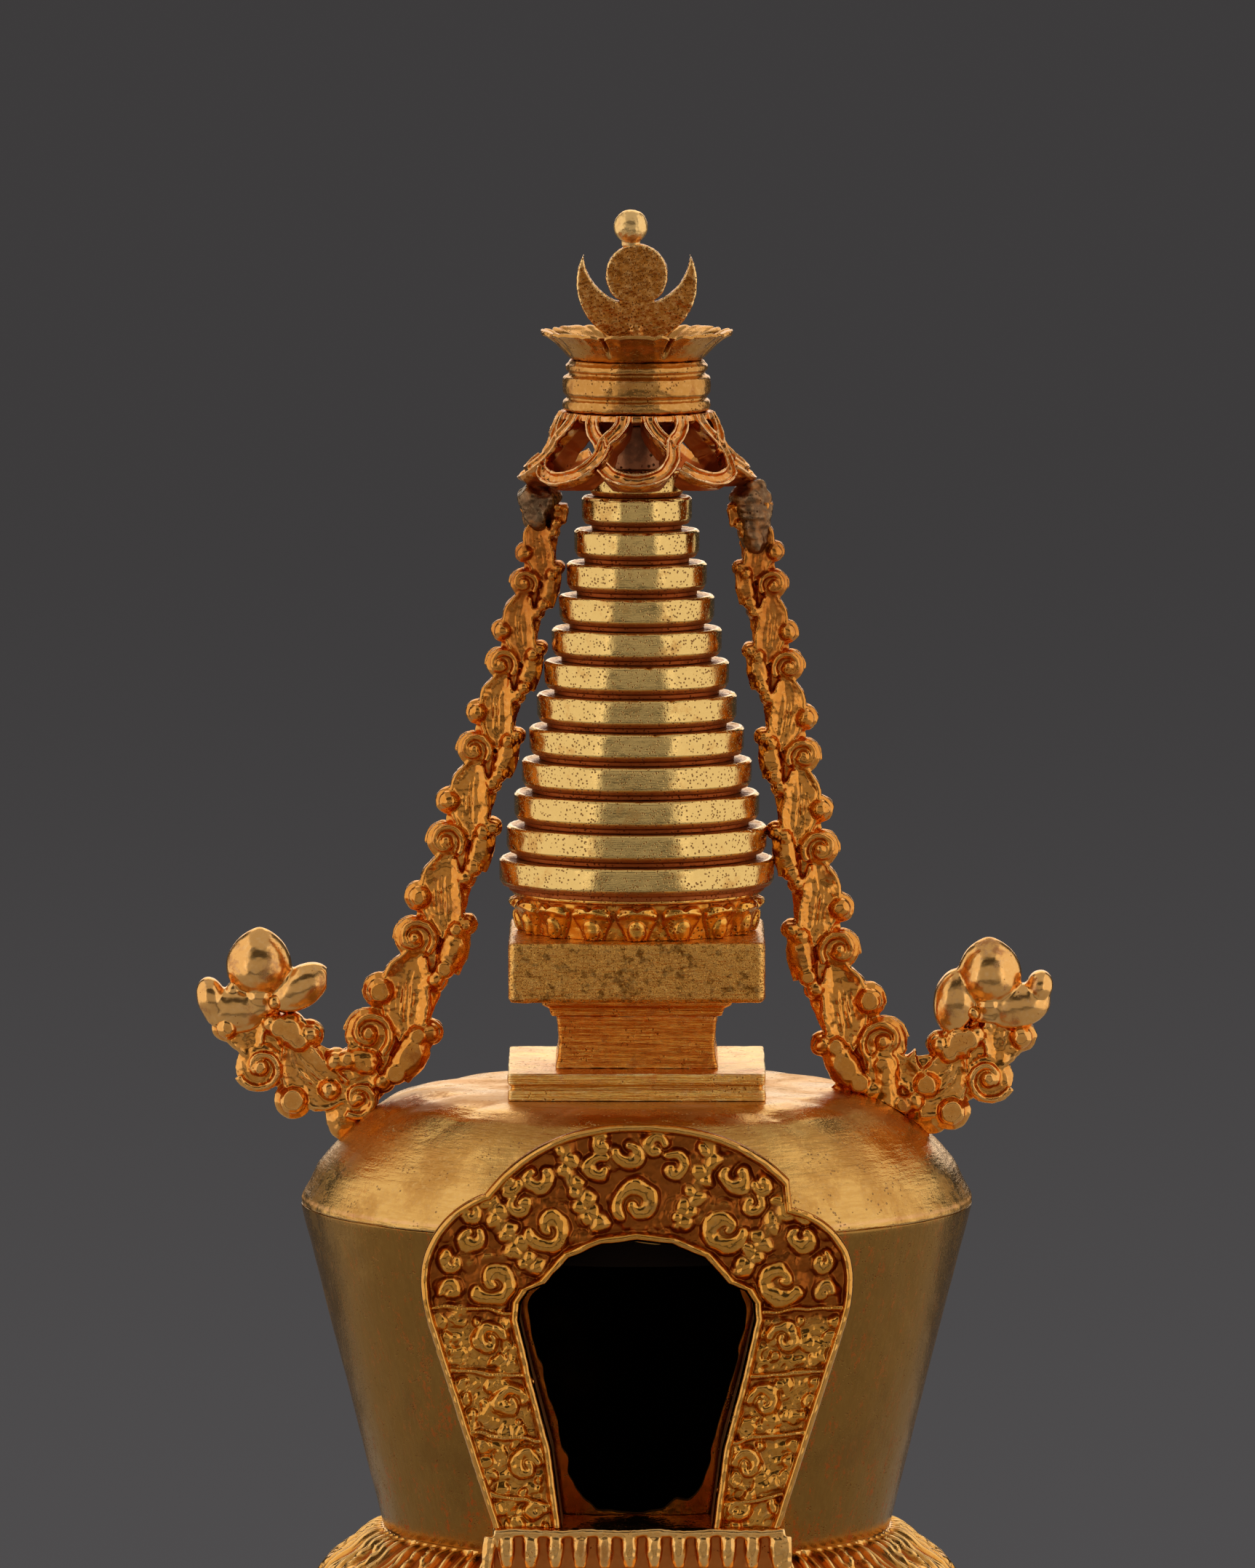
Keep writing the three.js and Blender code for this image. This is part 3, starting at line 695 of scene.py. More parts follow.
# The bright light tone on the plate's rims and bevels is painted highlight
def sun_gilt():
    return gilt("sun_gilt", (0.44, 0.14, 0.018), (1.0, 0.6, 0.22), (0.3, 0.09, 0.015),
                (0.62, 0.24, 0.045), dull=0.4, patch=0.6, patches=0.6, pit=0.24, pits=1.0,
                texture=0.06, ridges=1.0)


def jewel_gilt():
    return gilt("jewel_gilt", (0.9, 0.55, 0.2), (1.0, 0.68, 0.3), (0.4, 0.2, 0.08),
                (0.75, 0.42, 0.16), shine=0.3, dull=0.45, patch=1.2, texture=0.012)


def base_gilt():
    return gilt("base_gilt", (0.8, 0.42, 0.1), (0.98, 0.6, 0.2), (0.36, 0.09, 0.015),
                (0.6, 0.3, 0.08), shine=0.26, dull=0.5, patch=5, patches=0.4, pit=0.3, pits=0.4,
                texture=0.025)


# Dark copper; on the neck inside the parasol it is painted shade
def shaded_copper(name="shaded_copper", relief=True):
    return gilt(name, (0.36, 0.14, 0.06), (0.5, 0.24, 0.1), (0.14, 0.05, 0.02), (0.2, 0.08, 0.04),
                shine=0.45, dull=0.75, patches=0.6, pit=0.4, pits=0.6, texture=0.05, relief=relief)


def porch_copper():
    return gilt("porch_copper", (0.62, 0.27, 0.09), (0.8, 0.42, 0.15), (0.34, 0.1, 0.03),
                (0.4, 0.15, 0.05), shine=0.4, dull=0.6, patch=2, patches=0.5, pit=0.3, pits=0.4,
                texture=0.03)


def solder_grey():
    return gilt("solder_grey", (0.15, 0.075, 0.035), (0.42, 0.27, 0.14), (0.12, 0.035, 0.012),
                (0.3, 0.11, 0.03), shine=0.28, dull=0.6, patch=2.0, patches=0.5, pit=0.3, pits=0.4,
                texture=0.025)


def floor_paint():
    """Pale studio floor with a faint mottle."""
    s = Shader("studio_floor")
    place = s.node("ShaderNodeTexCoord").outputs["Object"]
    cloud = s.noise(place, 0.05, 4.0)
    colour = s.mix(cloud, (0.5, 0.49, 0.48), (0.56, 0.55, 0.54))
    bump = s.node("ShaderNodeBump", None, Strength=0.1, Distance=0.0004, Height=cloud)
    paint = s.node("ShaderNodeBsdfPrincipled", None, Base_Color=colour, Roughness=0.6,
                   Normal=bump.outputs[0])
    s.node("ShaderNodeOutputMaterial", None, Surface=paint.outputs[0])
    return s.material


# ------------------------------------------------------------------ spire and harmika
def spire_discs(finish):
    """Thirteen discs: a crisp upper edge, a tall face, a bevel under it and a narrow groove."""
    face, groove = 1.66, 0.78

    def grooved(points):
        """How far points lie under the disc's face or behind it, where the groove is painted in
        the deep tone as shade.
        """
        return (0.6 * smoothstep(top - points[:, 2], face, face + 0.1)
                + 0.4 * smoothstep(radius - axis_distance(points), 0.28, 0.42))

    for number in range(1, DISC_COUNT + 1):
        node = f"spire_ring_{number:02d}"
        radius, bottom, top = high(node)[0], low(node)[2], high(node)[2]
        bevel = top - face
        inner, neck = BORE_R + 0.4, radius - groove
        grid = turned([
            [inner, bottom + 0.01], [neck, bottom + 0.01], [neck + 0.02, bevel - 0.48],
            [radius - 0.3, bevel - 0.42], [radius - 0.03, bevel], [radius, top - 0.2],
            [radius - 0.18, top - 0.01], [inner, top - 0.01],
        ], ease=0.07, step=0.2, columns=288)
        flat = grid.reshape(-1, 3)
        edge = np.exp(-((flat[:, 2] - top) / 0.3) ** 2)
        nick = np.clip(ripple(flat, 1.1, number + 80) - 1.4, 0, 1) * 0.14 * edge
        grid = pushed(grid, swells(flat, (0.012, 2.6, number), (0.004, 0.7, number + 40)) - nick)
        grid[..., 2] = np.clip(grid[..., 2], bottom, top)
        piece(f"{node}_cast", ring_mesh(node, grid), finish, "lid", node,
              passes=6, depth=0.07, hollow=grooved)


def square_tier(node, name, profile, corner, finish, body="lid", dents=0.03, step=0.3,
                field=None, per_side=72, passes=8, depth=0.08):
    """A square tier with softened edges and hand-worked faces; field(along, points) adds
    relief. The profile closes on itself through the bore or the cavity."""
    grid, along = square_loft(dense(rounded(profile, 0.16), step), corner, per_side)
    flat = grid.reshape(-1, 3)
    push = swells(flat, (dents * 0.6, 4.0, len(name)), (dents * 0.4, 1.0, 7))
    if field:
        push = push + field(np.broadcast_to(along, grid.shape[:2]).ravel(), flat)
    grid = pushed(grid, push)
    grid[..., :2] = np.clip(grid[..., :2], -FOOT_HALF, FOOT_HALF)
    grid[..., 2] = np.clip(grid[..., 2], low(node)[2], high(node)[2])
    return piece(name, ring_mesh(name, grid), finish, body, node, passes, depth)


def harmika(plinth_finish, neck_finish, block_finish):
    """Square plinth, slim neck, moulding and the block that carries the spire."""
    inner = BORE_R + 0.3
    square_tier("harmika_plinth", "harmika_plinth_filed", [
        [inner, LID_TOP + 0.01], [PLINTH_HALF, LID_TOP + 0.01], [PLINTH_HALF - 0.02, 94.08],
        [PLINTH_HALF - 0.26, 94.25], [PLINTH_HALF - 0.26, 94.42], [PLINTH_HALF - 0.02, 94.6],
        [PLINTH_HALF, HARMIKA_PLINTH_TOP], [inner, HARMIKA_PLINTH_TOP],
    ], 0.35, plinth_finish)
    square_tier("harmika_neck", "harmika_neck_cast", [
        [inner, HARMIKA_PLINTH_TOP + 0.01], [6.15, HARMIKA_PLINTH_TOP + 0.01], [5.98, 96.2],
        [5.88, 97.4], [5.95, 98.5], [6.08, NECK_TOP], [inner, NECK_TOP],
    ], 0.3, neck_finish, dents=0.05)
    square_tier("harmika_moulding", "harmika_moulding_cast", [
        [inner, NECK_TOP + 0.01], [6.4, NECK_TOP + 0.01], [6.5, 99.7], [6.62, 100.05],
        [7.15, 100.3], [7.2, MOULDING_TOP], [inner, MOULDING_TOP],
    ], 0.3, neck_finish)
    square_tier("harmika_block", "harmika_block_cast", [
        [inner, MOULDING_TOP + 0.01], [BLOCK_HALF - 0.22, MOULDING_TOP + 0.01],
        [BLOCK_HALF, MOULDING_TOP + 0.3], [BLOCK_HALF, BLOCK_TOP - 0.35],
        [BLOCK_HALF - 0.12, BLOCK_TOP - 0.1], [BLOCK_HALF - 0.4, BLOCK_TOP],
        [inner, BLOCK_TOP],
    ], 0.55, block_finish, dents=0.045)


def collar_field(angle, z):
    """Plump petals with rolled lips, and a smaller raised lobe in each."""
    pitch = TAU / COLLAR_PETALS
    place = (angle / pitch + 0.5) % 1 - 0.5
    x = np.abs(place * pitch * COLLAR_R)
    rise = z - BLOCK_TOP
    half = np.interp(rise, [0, 0.7, 1.4, 2.1, 2.6], [0.95, 1.25, 1.72, 1.8, 1.3])
    dome = np.sqrt(np.clip(1 - (x / half) ** 2, 0, 1))
    dome = dome * (1 - smoothstep(rise + 0.25 * np.exp(-(x / 0.3) ** 2), 2.45, 2.7))
    lip = np.exp(-((rise - 2.15 + 0.25 * (x / 1.5) ** 2) / 0.28) ** 2) * smoothstep(dome, 0.1, 0.5)
    lobe = np.sqrt(np.clip(1 - (x / 0.78) ** 2 - ((rise - 0.75) / 0.85) ** 2, 0, 1))
    rim = smoothstep(rise, 2.75, 2.9) * 0.3
    return 0.5 * dome + 0.28 * lip + 0.4 * lobe + rim


def spire_collar(finish):
    """Ring of double petals under the lowest disc."""
    inner, columns = BORE_R + 0.4, 960
    outer = [
        [8.3, BLOCK_TOP + 0.01], [8.45, 106.2], [8.75, 107.0], [9.05, 107.7], [9.15, COLLAR_TOP],
    ]
    line = dense(np.array([[inner, BLOCK_TOP + 0.01], *outer, [inner, COLLAR_TOP]]), 0.06)
    grid = revolve(line, columns)
    angle = np.broadcast_to(column_angles(columns), grid.shape[:2])
    radius = axis_distance(grid)
    face = smoothstep(radius, 7.9, 8.2)
    push = collar_field(angle, grid[..., 2]) * face
    push = push + 0.02 * ripple(grid.reshape(-1, 3), 0.8, 5).reshape(push.shape) * face
    mesh = ring_mesh("spire_collar", widened(grid, (radius + push) / radius))
    piece("spire_collar_petals", mesh, finish, "lid", "spire_lotus",
          passes=20, depth=0.1)


# ------------------------------------------------------------------ lid and chamber
def shoulder(finish):
    """Brushed lid with a rough seam where it meets the chamber, and the lip inside."""
    grid = turned([
        [RIM_R, RIM_Z + 0.02], [RIM_R - 0.02, 85.3], LID_SHOULDER, *LID_CURVE[::-1],
        [BORE_R, LID_TOP], [BORE_R, 92], [14.5, 92], [18.2, 91.2], [20.9, 89.1], [22.6, 86.9],
        [LIP_INNER_R, RIM_Z], [LIP_INNER_R, LIP_FOOT], [LIP_OUTER_R, LIP_FOOT],
        [LIP_OUTER_R, RIM_Z + 0.02],
    ], ease=0.4, step=0.25, columns=384)
    flat = grid.reshape(-1, 3)
    outer = smoothstep(axis_distance(flat), 13, 15)
    seam = np.exp(-((flat[:, 2] - RIM_Z - 0.35) / 0.3) ** 2)
    angle = np.arctan2(flat[:, 1], flat[:, 0]) + 0.06 * ripple(flat, 9, 5)
    facets = 0.16 * np.abs(np.sin(7 * angle + 0.9)) * smoothstep(flat[:, 2], 86, 88)
    push = 0.03 * ripple(flat, 7, 3) + 0.05 * seam * ripple(flat, 0.9, 4) + facets - 0.1
    grid = pushed(grid, push * outer)
    widest = np.where(grid[..., 2] < RIM_Z - 0.01, LIP_OUTER_R, RIM_R)
    grid = widened(grid, np.minimum(1, widest / axis_distance(grid)))
    grid[..., 2] = np.minimum(grid[..., 2], LID_TOP)
    mesh = ring_mesh("shoulder", grid)
    at, _, _ = mesh_arrays(mesh)
    from_ribbon = np.hypot(np.abs(at[:, 0]) - 19, at[:, 1] * 0.8)
    store(mesh, "stain", 0.9 * np.exp(-(from_ribbon / 9) ** 2) + 0.12)
    # The lid's underside and its lip are painted black as shade inside the chamber
    piece("dome_shoulder_brushed", mesh, finish, "lid", "dome_shoulder",
          passes=8, depth=0.1, painted_shade=lambda p: smoothstep(under_lid(p), 0.4, 0.8), hollow=worn_top)


def worn_top(points):
    """The lid's flat top and its crusty lower seam have lost their polish."""
    flat = smoothstep(points[:, 2], LID_TOP - 0.7, LID_TOP - 0.1) * (axis_distance(points) < 21)
    return np.maximum(flat * np.clip(0.28 + 0.14 * ripple(points, 5, 6), 0.05, 0.7),
                      0.6 * np.exp(-((points[:, 2] - RIM_Z - 0.4) / 0.35) ** 2))


def under_lid(points):
    """How far points lie below or inside the outer skin of the lid."""
    radius = axis_distance(points)
    skin = np.interp(radius, *np.transpose([*LID_CURVE, [RIM_R, RIM_Z]]))
    lip = (radius < LIP_OUTER_R + 0.2) * (points[:, 2] < RIM_Z) * 1.0
    return np.where(radius < 24.8, np.maximum(skin - points[:, 2], lip), 0)


def wall_hole():
    """Outline [x, z] of the uneven hole in the chamber wall, narrower than the window."""
    n = 260
    right = [
        [0.6, 63.5], [1.9, 63.75], [2.9, 64.55], [3.9, 64.5], [4.7, 65.3], [5.3, 66.8],
        [5.9, 69.6], [6.8, 72.8], [7.6, 75.8], [8.1, 78.4], [7.9, 80.2], [6.6, 81.5],
        [5.4, 83.0], [3.6, 84.1], [1, 84.5],
    ]
    left = [
        [-1.2, 84.5], [-3.6, 84.1], [-5.4, 83.0], [-6.6, 81.5], [-7.9, 80.2], [-8.1, 78.4],
        [-7.5, 75.8], [-6.6, 72.8], [-5.7, 69.6], [-5.1, 66.9], [-4.3, 65.1], [-3.1, 63.9],
        [-1.2, 63.5],
    ]
    outline = spline(right + left + [right[0]], n)[:-1]
    wobble = np.stack([outline[:, 0], np.zeros(n - 1), outline[:, 1]], -1)
    shift = 0.09 * ripple(wobble, 1.6, 11)
    outline[:, 0] += shift
    outline[:, 1] = np.clip(outline[:, 1] + shift, NICHE_FLOOR + 0.05, 84.6)
    return outline


def wall_radius(z):
    """Outer radius of the chamber wall at a height."""
    return DRUM_FOOT_R + (RIM_R - DRUM_FOOT_R) * (z - FLOOR_Z) / (RIM_Z - FLOOR_Z)


def wall_depth(points):
    """How far points lie inside the outer face of the chamber wall."""
    return wall_radius(points[:, 2]) - axis_distance(points)


def cut_through(mesh, outline, front, back):
    """The mesh with a hole of the outline [x, z] cut from y = front to y = back."""
    faced_outward(mesh)
    prism = faced_outward(mesh_from("wall_cutter", *slab(outline, front, back)))
    cutter = bpy.data.objects.new("wall_cutter", prism)
    bpy.context.scene.collection.objects.link(cutter)
    result = modified(mesh, "BOOLEAN", operation="DIFFERENCE", object=cutter, solver="EXACT")
    bpy.data.objects.remove(cutter)
    return result


def drum(finish):
    """Plain conical chamber wall with an arched hole cut through its front."""
    grid = turned([
        [DRUM_FOOT_R, FLOOR_Z + 0.01], [RIM_R - 0.06, RIM_Z - 0.02], [RIM_R - DRUM_WALL, RIM_Z],
        [DRUM_FOOT_R - DRUM_WALL, FLOOR_Z + 0.01],
    ], ease=0.12, step=0.4, columns=288)
    grid = pushed(grid, swells(grid.reshape(-1, 3), (0.05, 9, 21), (0.012, 2, 22)))
    grid[..., 2] = np.clip(grid[..., 2], FLOOR_Z, RIM_Z)
    mesh = cut_through(ring_mesh("drum", grid), wall_hole(), -30, -12)
    at, _, _ = mesh_arrays(mesh)
    low_down = 1 - smoothstep(at[:, 2], FLOOR_Z + 1, FLOOR_Z + 9)
    beside = np.exp(-np.clip(np.abs(at[:, 0]) - 13 - (at[:, 2] - 64) * 0.2, 0, 9) / 3)
    store(mesh, "stain", np.clip(0.25 + 0.8 * low_down + 0.8 * beside * (at[:, 1] < 0), 0, 1))
    # The wall's inner face is painted black and its cut reveal painted in the deep tone, as shade
    # inside the chamber
    made = piece("dome_drum_turned", mesh, finish, "base", "dome_drum",
                 passes=6, depth=0.1, painted_shade=lambda p: smoothstep(wall_depth(p), 0.95, 1.15),
                 hollow=lambda p: smoothstep(wall_depth(p), 0.15, 0.5))
    made.data.set_sharp_from_angle(angle=math.radians(50))


# ------------------------------------------------------------------ niche
def bezier(a, b, c, n):
    """n points on the curve from a to c that b pulls at."""
    t = np.linspace(0, 1, n)[:, None]
    return (1 - t) ** 2 * np.array(a) + 2 * t * (1 - t) * np.array(b) + t * t * np.array(c)


def evened(line, n):
    """n points at equal steps along a polyline."""
    line = np.array(line, float)
    run = np.concatenate([[0], np.cumsum(np.linalg.norm(np.diff(line, axis=0), axis=1))])
    at = np.linspace(0, run[-1], n)
    return np.stack([np.interp(at, run, line[:, k]) for k in range(line.shape[1])], -1)


def arch_edge(n_leg, n_crown, inset, broken):
    """Right half of the arch's outer edge, foot to peak. The photographed arch is broken on its
    right: the crown's rim stops and steps in above the haunch."""
    leg = [[10.7 - inset, NICHE_FLOOR], [15.6 - inset, 78.8]]
    side = bezier([15.6 - inset, 78.8], [16.5 - inset, 82], [15.7 - inset, 84.1], 12)
    bend, top = ([14.4 - inset, 86.7], 87.3) if broken else ([14.6 - inset, 87], 88.3)
    haunch = bezier([15.7 - inset, 84.1], bend, [11.5 - inset, top - inset], 12)
    start = [11.3 - inset, (89.4 if broken else top) - inset]
    crown = bezier(start, [7.4 - inset, ARCH_PEAK - inset], [0, ARCH_PEAK - inset], 24)
    return np.vstack([evened(leg, n_leg)[:-1], evened(np.vstack([side, haunch, crown]), n_crown)])


def arch_sides(n_leg, n_crown, inset=0.0):
    """Matching points on the window edge and the outer edge of the arch, right foot to left."""
    window = np.vstack([evened(WINDOW_LEG, n_leg)[:-1], evened(WINDOW_CROWN, n_crown)])
    right, left = (arch_edge(n_leg, n_crown, inset, broken) for broken in (True, False))
    flip = np.array([-1, 1])
    return np.vstack([window, window[-2::-1] * flip]), np.vstack([right, left[-2::-1] * flip])


def curl(x, z, radius, start, turns, hand, inner=0.3, n=40):
    """Spiral stroke from its outer end inwards; start is in degrees, hand is 1 or -1."""
    t = np.linspace(0, 1, n)
    angle = math.radians(start) + hand * turns * TAU * t
    r = radius * (1 - t) + radius * inner * t
    return np.stack([x + r * np.cos(angle), z + r * np.sin(angle)], -1)


def stroke_heights(x, z, strokes):
    """Greatest height, at each point, of rounded strokes of (path, half width, height)."""
    out = np.zeros_like(x)
    for path, half, height in strokes:
        half = np.broadcast_to(half, (len(path),))
        (left, bottom), (right, top) = path.min(0) - half.max(), path.max(0) + half.max()
        near = np.flatnonzero((x > left) & (x < right) & (z > bottom) & (z < top))
        gap = np.hypot(x[near][:, None] - path[:, 0], z[near][:, None] - path[:, 1]) / half
        dome = np.clip(1 - gap.min(1) ** 2, 0, 1) ** 0.9
        out[near] = np.maximum(out[near], height * dome)
    return out


def taper(n, start, middle, end):
    """n widths that run from start through middle to end."""
    return np.interp(np.linspace(0, 1, n), [0, 0.5, 1], [start, middle, end])


def bead(x, z, r, height=0.5):
    """A round dot, as a stroke of no length."""
    return np.array([[x, z], [x + 0.01, z]]), r * 1.3, height


def medallion(x, z, r, start, hand):
    """A fat scroll on a low dome."""
    path = curl(x, z, r, start, 1.0, hand, 0.22, 60)
    return [(path, taper(60, 0.74, 0.9, 0.55), 1.15), bead(*path[-1], 0.46, 0.95),
            bead(x, z, 1.7)]


def hook(x, z, r, start, hand, width=0.3):
    """A cloud hook: part of a turn, thick in the middle."""
    return curl(x, z, r, start, 0.75, hand, 0.45, 30), taper(30, 0.5, width * 2.4, 0.56), 0.86


def vine(stations):
    """A soft bed with lobes leaning out to alternate sides."""
    path = spline(stations, 40)
    made = [(path, taper(40, 0.95, 0.8, 0.7), 0.62)]
    for k, (x, z) in enumerate(path[2:39:4]):
        made.append(bead(x + (0.4 if k % 2 else -0.4), z + 0.1, 0.54 + 0.06 * (k * 3 % 4), 0.9))
    return made


def crown_strokes(s):
    """One side of the crown: two medallions, two vines and the hooks over them."""
    made = medallion(s * 6.5, 85.8, 1.55, -90 + s * 70, -s)
    made += medallion(s * 10.6, 81.85, 1.5, -90 + s * 55, -s)
    for line in (
        [[5.4, 91.9], [5.1, 90.0], [4.2, 88.2], [3.7, 87.0], [3.1, 86.0]],
        [[10.9, 87.9], [10.3, 86.3], [9.2, 84.9], [8.5, 83.6], [7.6, 82.7]],
    ):
        made += vine([[s * x, z] for x, z in line])
    for x, z, r, turn, hand, width in (
        (7.5, 89.6, 1.0, 60, 1, 0.36), (8.6, 87.6, 0.75, -40, -1, 0.3),
        (9.4, 89.0, 0.6, 80, 1, 0.3), (12.4, 85.1, 0.85, 60, 1, 0.34),
        (13.7, 83.3, 0.7, -30, -1, 0.3), (12.4, 87.0, 0.65, 30, 1, 0.3),
        (13.9, 81.1, 0.6, -90, 1, 0.3),
    ):
        made.append(hook(s * x, z, r, 90 + s * turn, s * hand, width))
    return made


def leg_strokes(s):
    """One leg: four cells parted by sagging ledges, with a scroll and beads in each."""
    made = []
    for k, (ledge, x, r) in enumerate([(79.75, 11.0, 1.15), (75.05, 9.5, 1.15),
                                       (70.4, 8.2, 1.0), (65.8, 7.5, 0.6)]):
        full = k < 3
        middle = ledge - (2.3 if full else 1.2)
        made.append((curl(s * x, middle, r, 90 + s * 80, 1.05, -s, 0.25, 50),
                     taper(50, 0.46, 0.62, 0.42), 0.75))
        outer = 10.7 + (ledge - NICHE_FLOOR) * 0.318
        inner = np.interp(ledge, *np.transpose(WINDOW_LEG)[::-1])
        made.append((spline([[s * (outer - 0.3), ledge + 0.15],
                             [s * (outer + inner) / 2, ledge - 0.1 * k],
                             [s * (inner + 0.2), ledge - 0.25 - 0.2 * k]], 30), 0.27, 0.66))
        for j in range(3 if full else 1):
            drop = ledge - 0.95 - j * 1.15
            made.append(bead(s * (outer - 1.25 - j * 0.42), drop, 0.5 - 0.05 * j))
            made.append(bead(s * (outer - 0.95 - j * 0.36), drop - 0.55, 0.28, 0.36))
        made.append(bead(s * (x + 1.0), middle + 1.35, 0.3, 0.4))
        made.append(bead(s * (x - 0.8), middle - 1.3, 0.26, 0.36))
    return made


def arch_strokes():
    """Five scroll medallions under cloud hooks, parted by vines, and four cells down each leg."""
    strokes = medallion(0.1, 87.6, 1.62, -150, -1)
    for place in ((-0.6, 91.5, 1.05, 180, 1, 0.36), (-2.8, 90.3, 0.95, 60, 1),
                  (2.8, 90.4, 0.95, 120, -1), (1.4, 91.9, 0.75, 20, 1), (-2.6, 92.1, 0.6, 60, 1)):
        strokes.append(hook(*place))
    for s in (-1, 1):
        strokes += crown_strokes(s) + leg_strokes(s)
    return strokes


def filling(x, z, height):
    """Small seeded lumps wherever the scrollwork leaves bare ground."""
    lumps = np.random.default_rng(39)
    spots = lumps.uniform([-15.5, NICHE_FLOOR], [15.5, 93.4], (420, 2))
    strokes = [(np.array([spot, spot + 0.01]), size, 0.5 * size)
               for spot, size in zip(spots, lumps.uniform(0.45, 0.85, 420))]
    bare = 1 - smoothstep(height, 0.05, 0.4)
    return height + stroke_heights(x, z, strokes) * bare


def arch_relief(x, z, from_window, from_edge):
    """Height of the plate's face, 0 to 1: cast scrollwork between a rim at each edge."""
    place = np.stack([x, np.zeros_like(x), z], -1)
    leg = 1 - smoothstep(z, 79.5, 80.2)
    ground = swells(place, (0.05, 1.3, 31), (0.015, 0.4, 32))
    ground += leg * (0.1 + 0.09 * ripple(place, 0.8, 33))
    # the strokes are looked up a little off their places, which makes them uneven
    shift_x = 0.1 * ripple(place, 2.2, 34)
    shift_z = 0.1 * ripple(place + 9, 2.2, 35)
    cast = stroke_heights(x + shift_x, z + shift_z, arch_strokes())
    height = (ground + filling(x, z, cast)) * (1 + 0.06 * ripple(place, 0.9, 36))
    rims = [np.sqrt(np.clip(1 - ((gap - middle) / half) ** 2, 0, 1))
            for gap, middle, half in ((from_window, 0.38, 0.42), (from_edge, 0.34, 0.36))]
    rim = 0.88 * np.maximum(*rims) + 0.04 * ripple(place, 1.3, 37)
    return np.maximum(np.tanh(height * 0.92), rim)


def arch_ground(points):
    """How far the plate's face is darkened, as painted shade: more in the depths of the relief,
    and more on the crown.
    """
    depth = smoothstep(points[:, 1] - PLATE_FRONT, 0.35, 0.8)
    crown = smoothstep(points[:, 2], 78, 80.5)
    share = 0.25 * crown - 0.1 + (0.25 + 0.55 * crown) * depth
    return share * (points[:, 1] < PLATE_FRONT + 1.05)


def arch_frame(finish):
    """Arched plate: the relief on its face, its two edges and its flat back."""
    relief_depth, across = 0.95, 100
    window, edge = arch_sides(230, 260)
    u = np.linspace(0, 1, across)
    flat = window[:, None] + (edge - window)[:, None] * u[None, :, None]
    width = np.repeat(np.linalg.norm(edge - window, axis=1), across)
    from_window = np.tile(u, len(window)) * width
    height = arch_relief(flat[..., 0].ravel(), flat[..., 1].ravel(), from_window,
                         width - from_window)
    y = np.maximum(PLATE_FRONT + relief_depth - height, PLATE_FRONT).reshape(flat.shape[:2])
    face = np.stack([flat[..., 0], y, flat[..., 1]], -1)
    columns = [face]
    for t in (0.35, 0.7, 1.0):
        columns.append(towards_back(face[:, -1:], t))
    for t in np.linspace(0.9, 0, 8):
        columns.append(np.insert((window + (edge - window) * t)[:, None], 1, PLATE_BACK, axis=2))
    for t in (0.7, 0.35):
        columns.append(towards_back(face[:, :1], t))
    mesh = bar_mesh("arch_frame", np.concatenate(columns, 1))
    piece("niche_frame_relief", mesh, finish, "base", "niche_frame",
          passes=40, depth=0.4, hollow=arch_ground)


def towards_back(line, t):
    """Points of the plate's face moved back, to its rear face as t goes to 1."""
    moved = line.copy()
    moved[..., 1] = moved[..., 1] * (1 - t) + PLATE_BACK * t
    return moved


def wall_front(x, z, gap):
    """How far forward the chamber wall, or the path of the lid, comes at x and z."""
    radius = np.where(z > RIM_Z - 0.3, RIM_R, wall_radius(z)) + gap
    return -np.sqrt(np.maximum(radius ** 2 - x ** 2, 0))


def porch(finish):
    """Short arched passage from the plate back to the chamber wall."""
    gap = 0.3
    window, edge = arch_sides(90, 120, 0.6)

    def passage(line, shares):
        """Columns along the passage; share 0 is at the plate and 1 at the wall."""
        wall = wall_front(line[:, 0], line[:, 1], gap)
        for t in shares:
            place = np.stack([line[:, 0], PLATE_BACK + (wall - PLATE_BACK) * t, line[:, 1]], -1)
            place[:, 0] += 0.05 * ripple(place, 1.4, 41) * math.sin(math.pi * t)
            yield place

    across = np.linspace(0.05, 0.95, 10)
    columns = list(passage(window, np.linspace(1, 0, 24)))
    columns += [np.insert(window + (edge - window) * t, 1, PLATE_BACK, axis=1) for t in across]
    columns += list(passage(edge, np.linspace(0, 1, 24)))
    for t in across[::-1]:
        mix = window + (edge - window) * t
        columns.append(np.insert(mix, 1, wall_front(mix[:, 0], mix[:, 1], gap), axis=1))
    mesh = bar_mesh("porch", np.stack(columns, 1))
    piece("niche_porch_walls", mesh, finish, "base", "niche_porch",
          passes=8, depth=0.1)


def sill_rail(rail_y):
    """Two round rails along the sill's top edge."""
    xs = np.linspace(-SILL_HALF + 0.9, SILL_HALF - 0.5, 60)
    rail = np.stack([xs, np.full(60, rail_y), NICHE_FLOOR - 0.36 + 0.05 * np.sin(xs * 1.3)], -1)
    return [tube(rail, 0.34, 12), tube(rail + [0, 0.5, 0.05], 0.36, 12)]


def sill_ledge(front):
    """Block behind the fringe, back to the chamber wall."""
    reach = 3.2
    line = np.linspace(-SILL_HALF + 0.8, SILL_HALF - 0.5, 40)
    back = np.minimum(wall_front(line, np.full(40, 62.0), 0.45), -16.2)
    plan = [[x, front] for x in line] + [[x, y] for x, y in zip(line[::-1], back[::-1])]
    levels = [np.insert(np.array(plan), 2, NICHE_FLOOR - drop, axis=1) for drop in (0.04, reach)]
    return np.vstack(levels), capped_faces(2, len(plan))


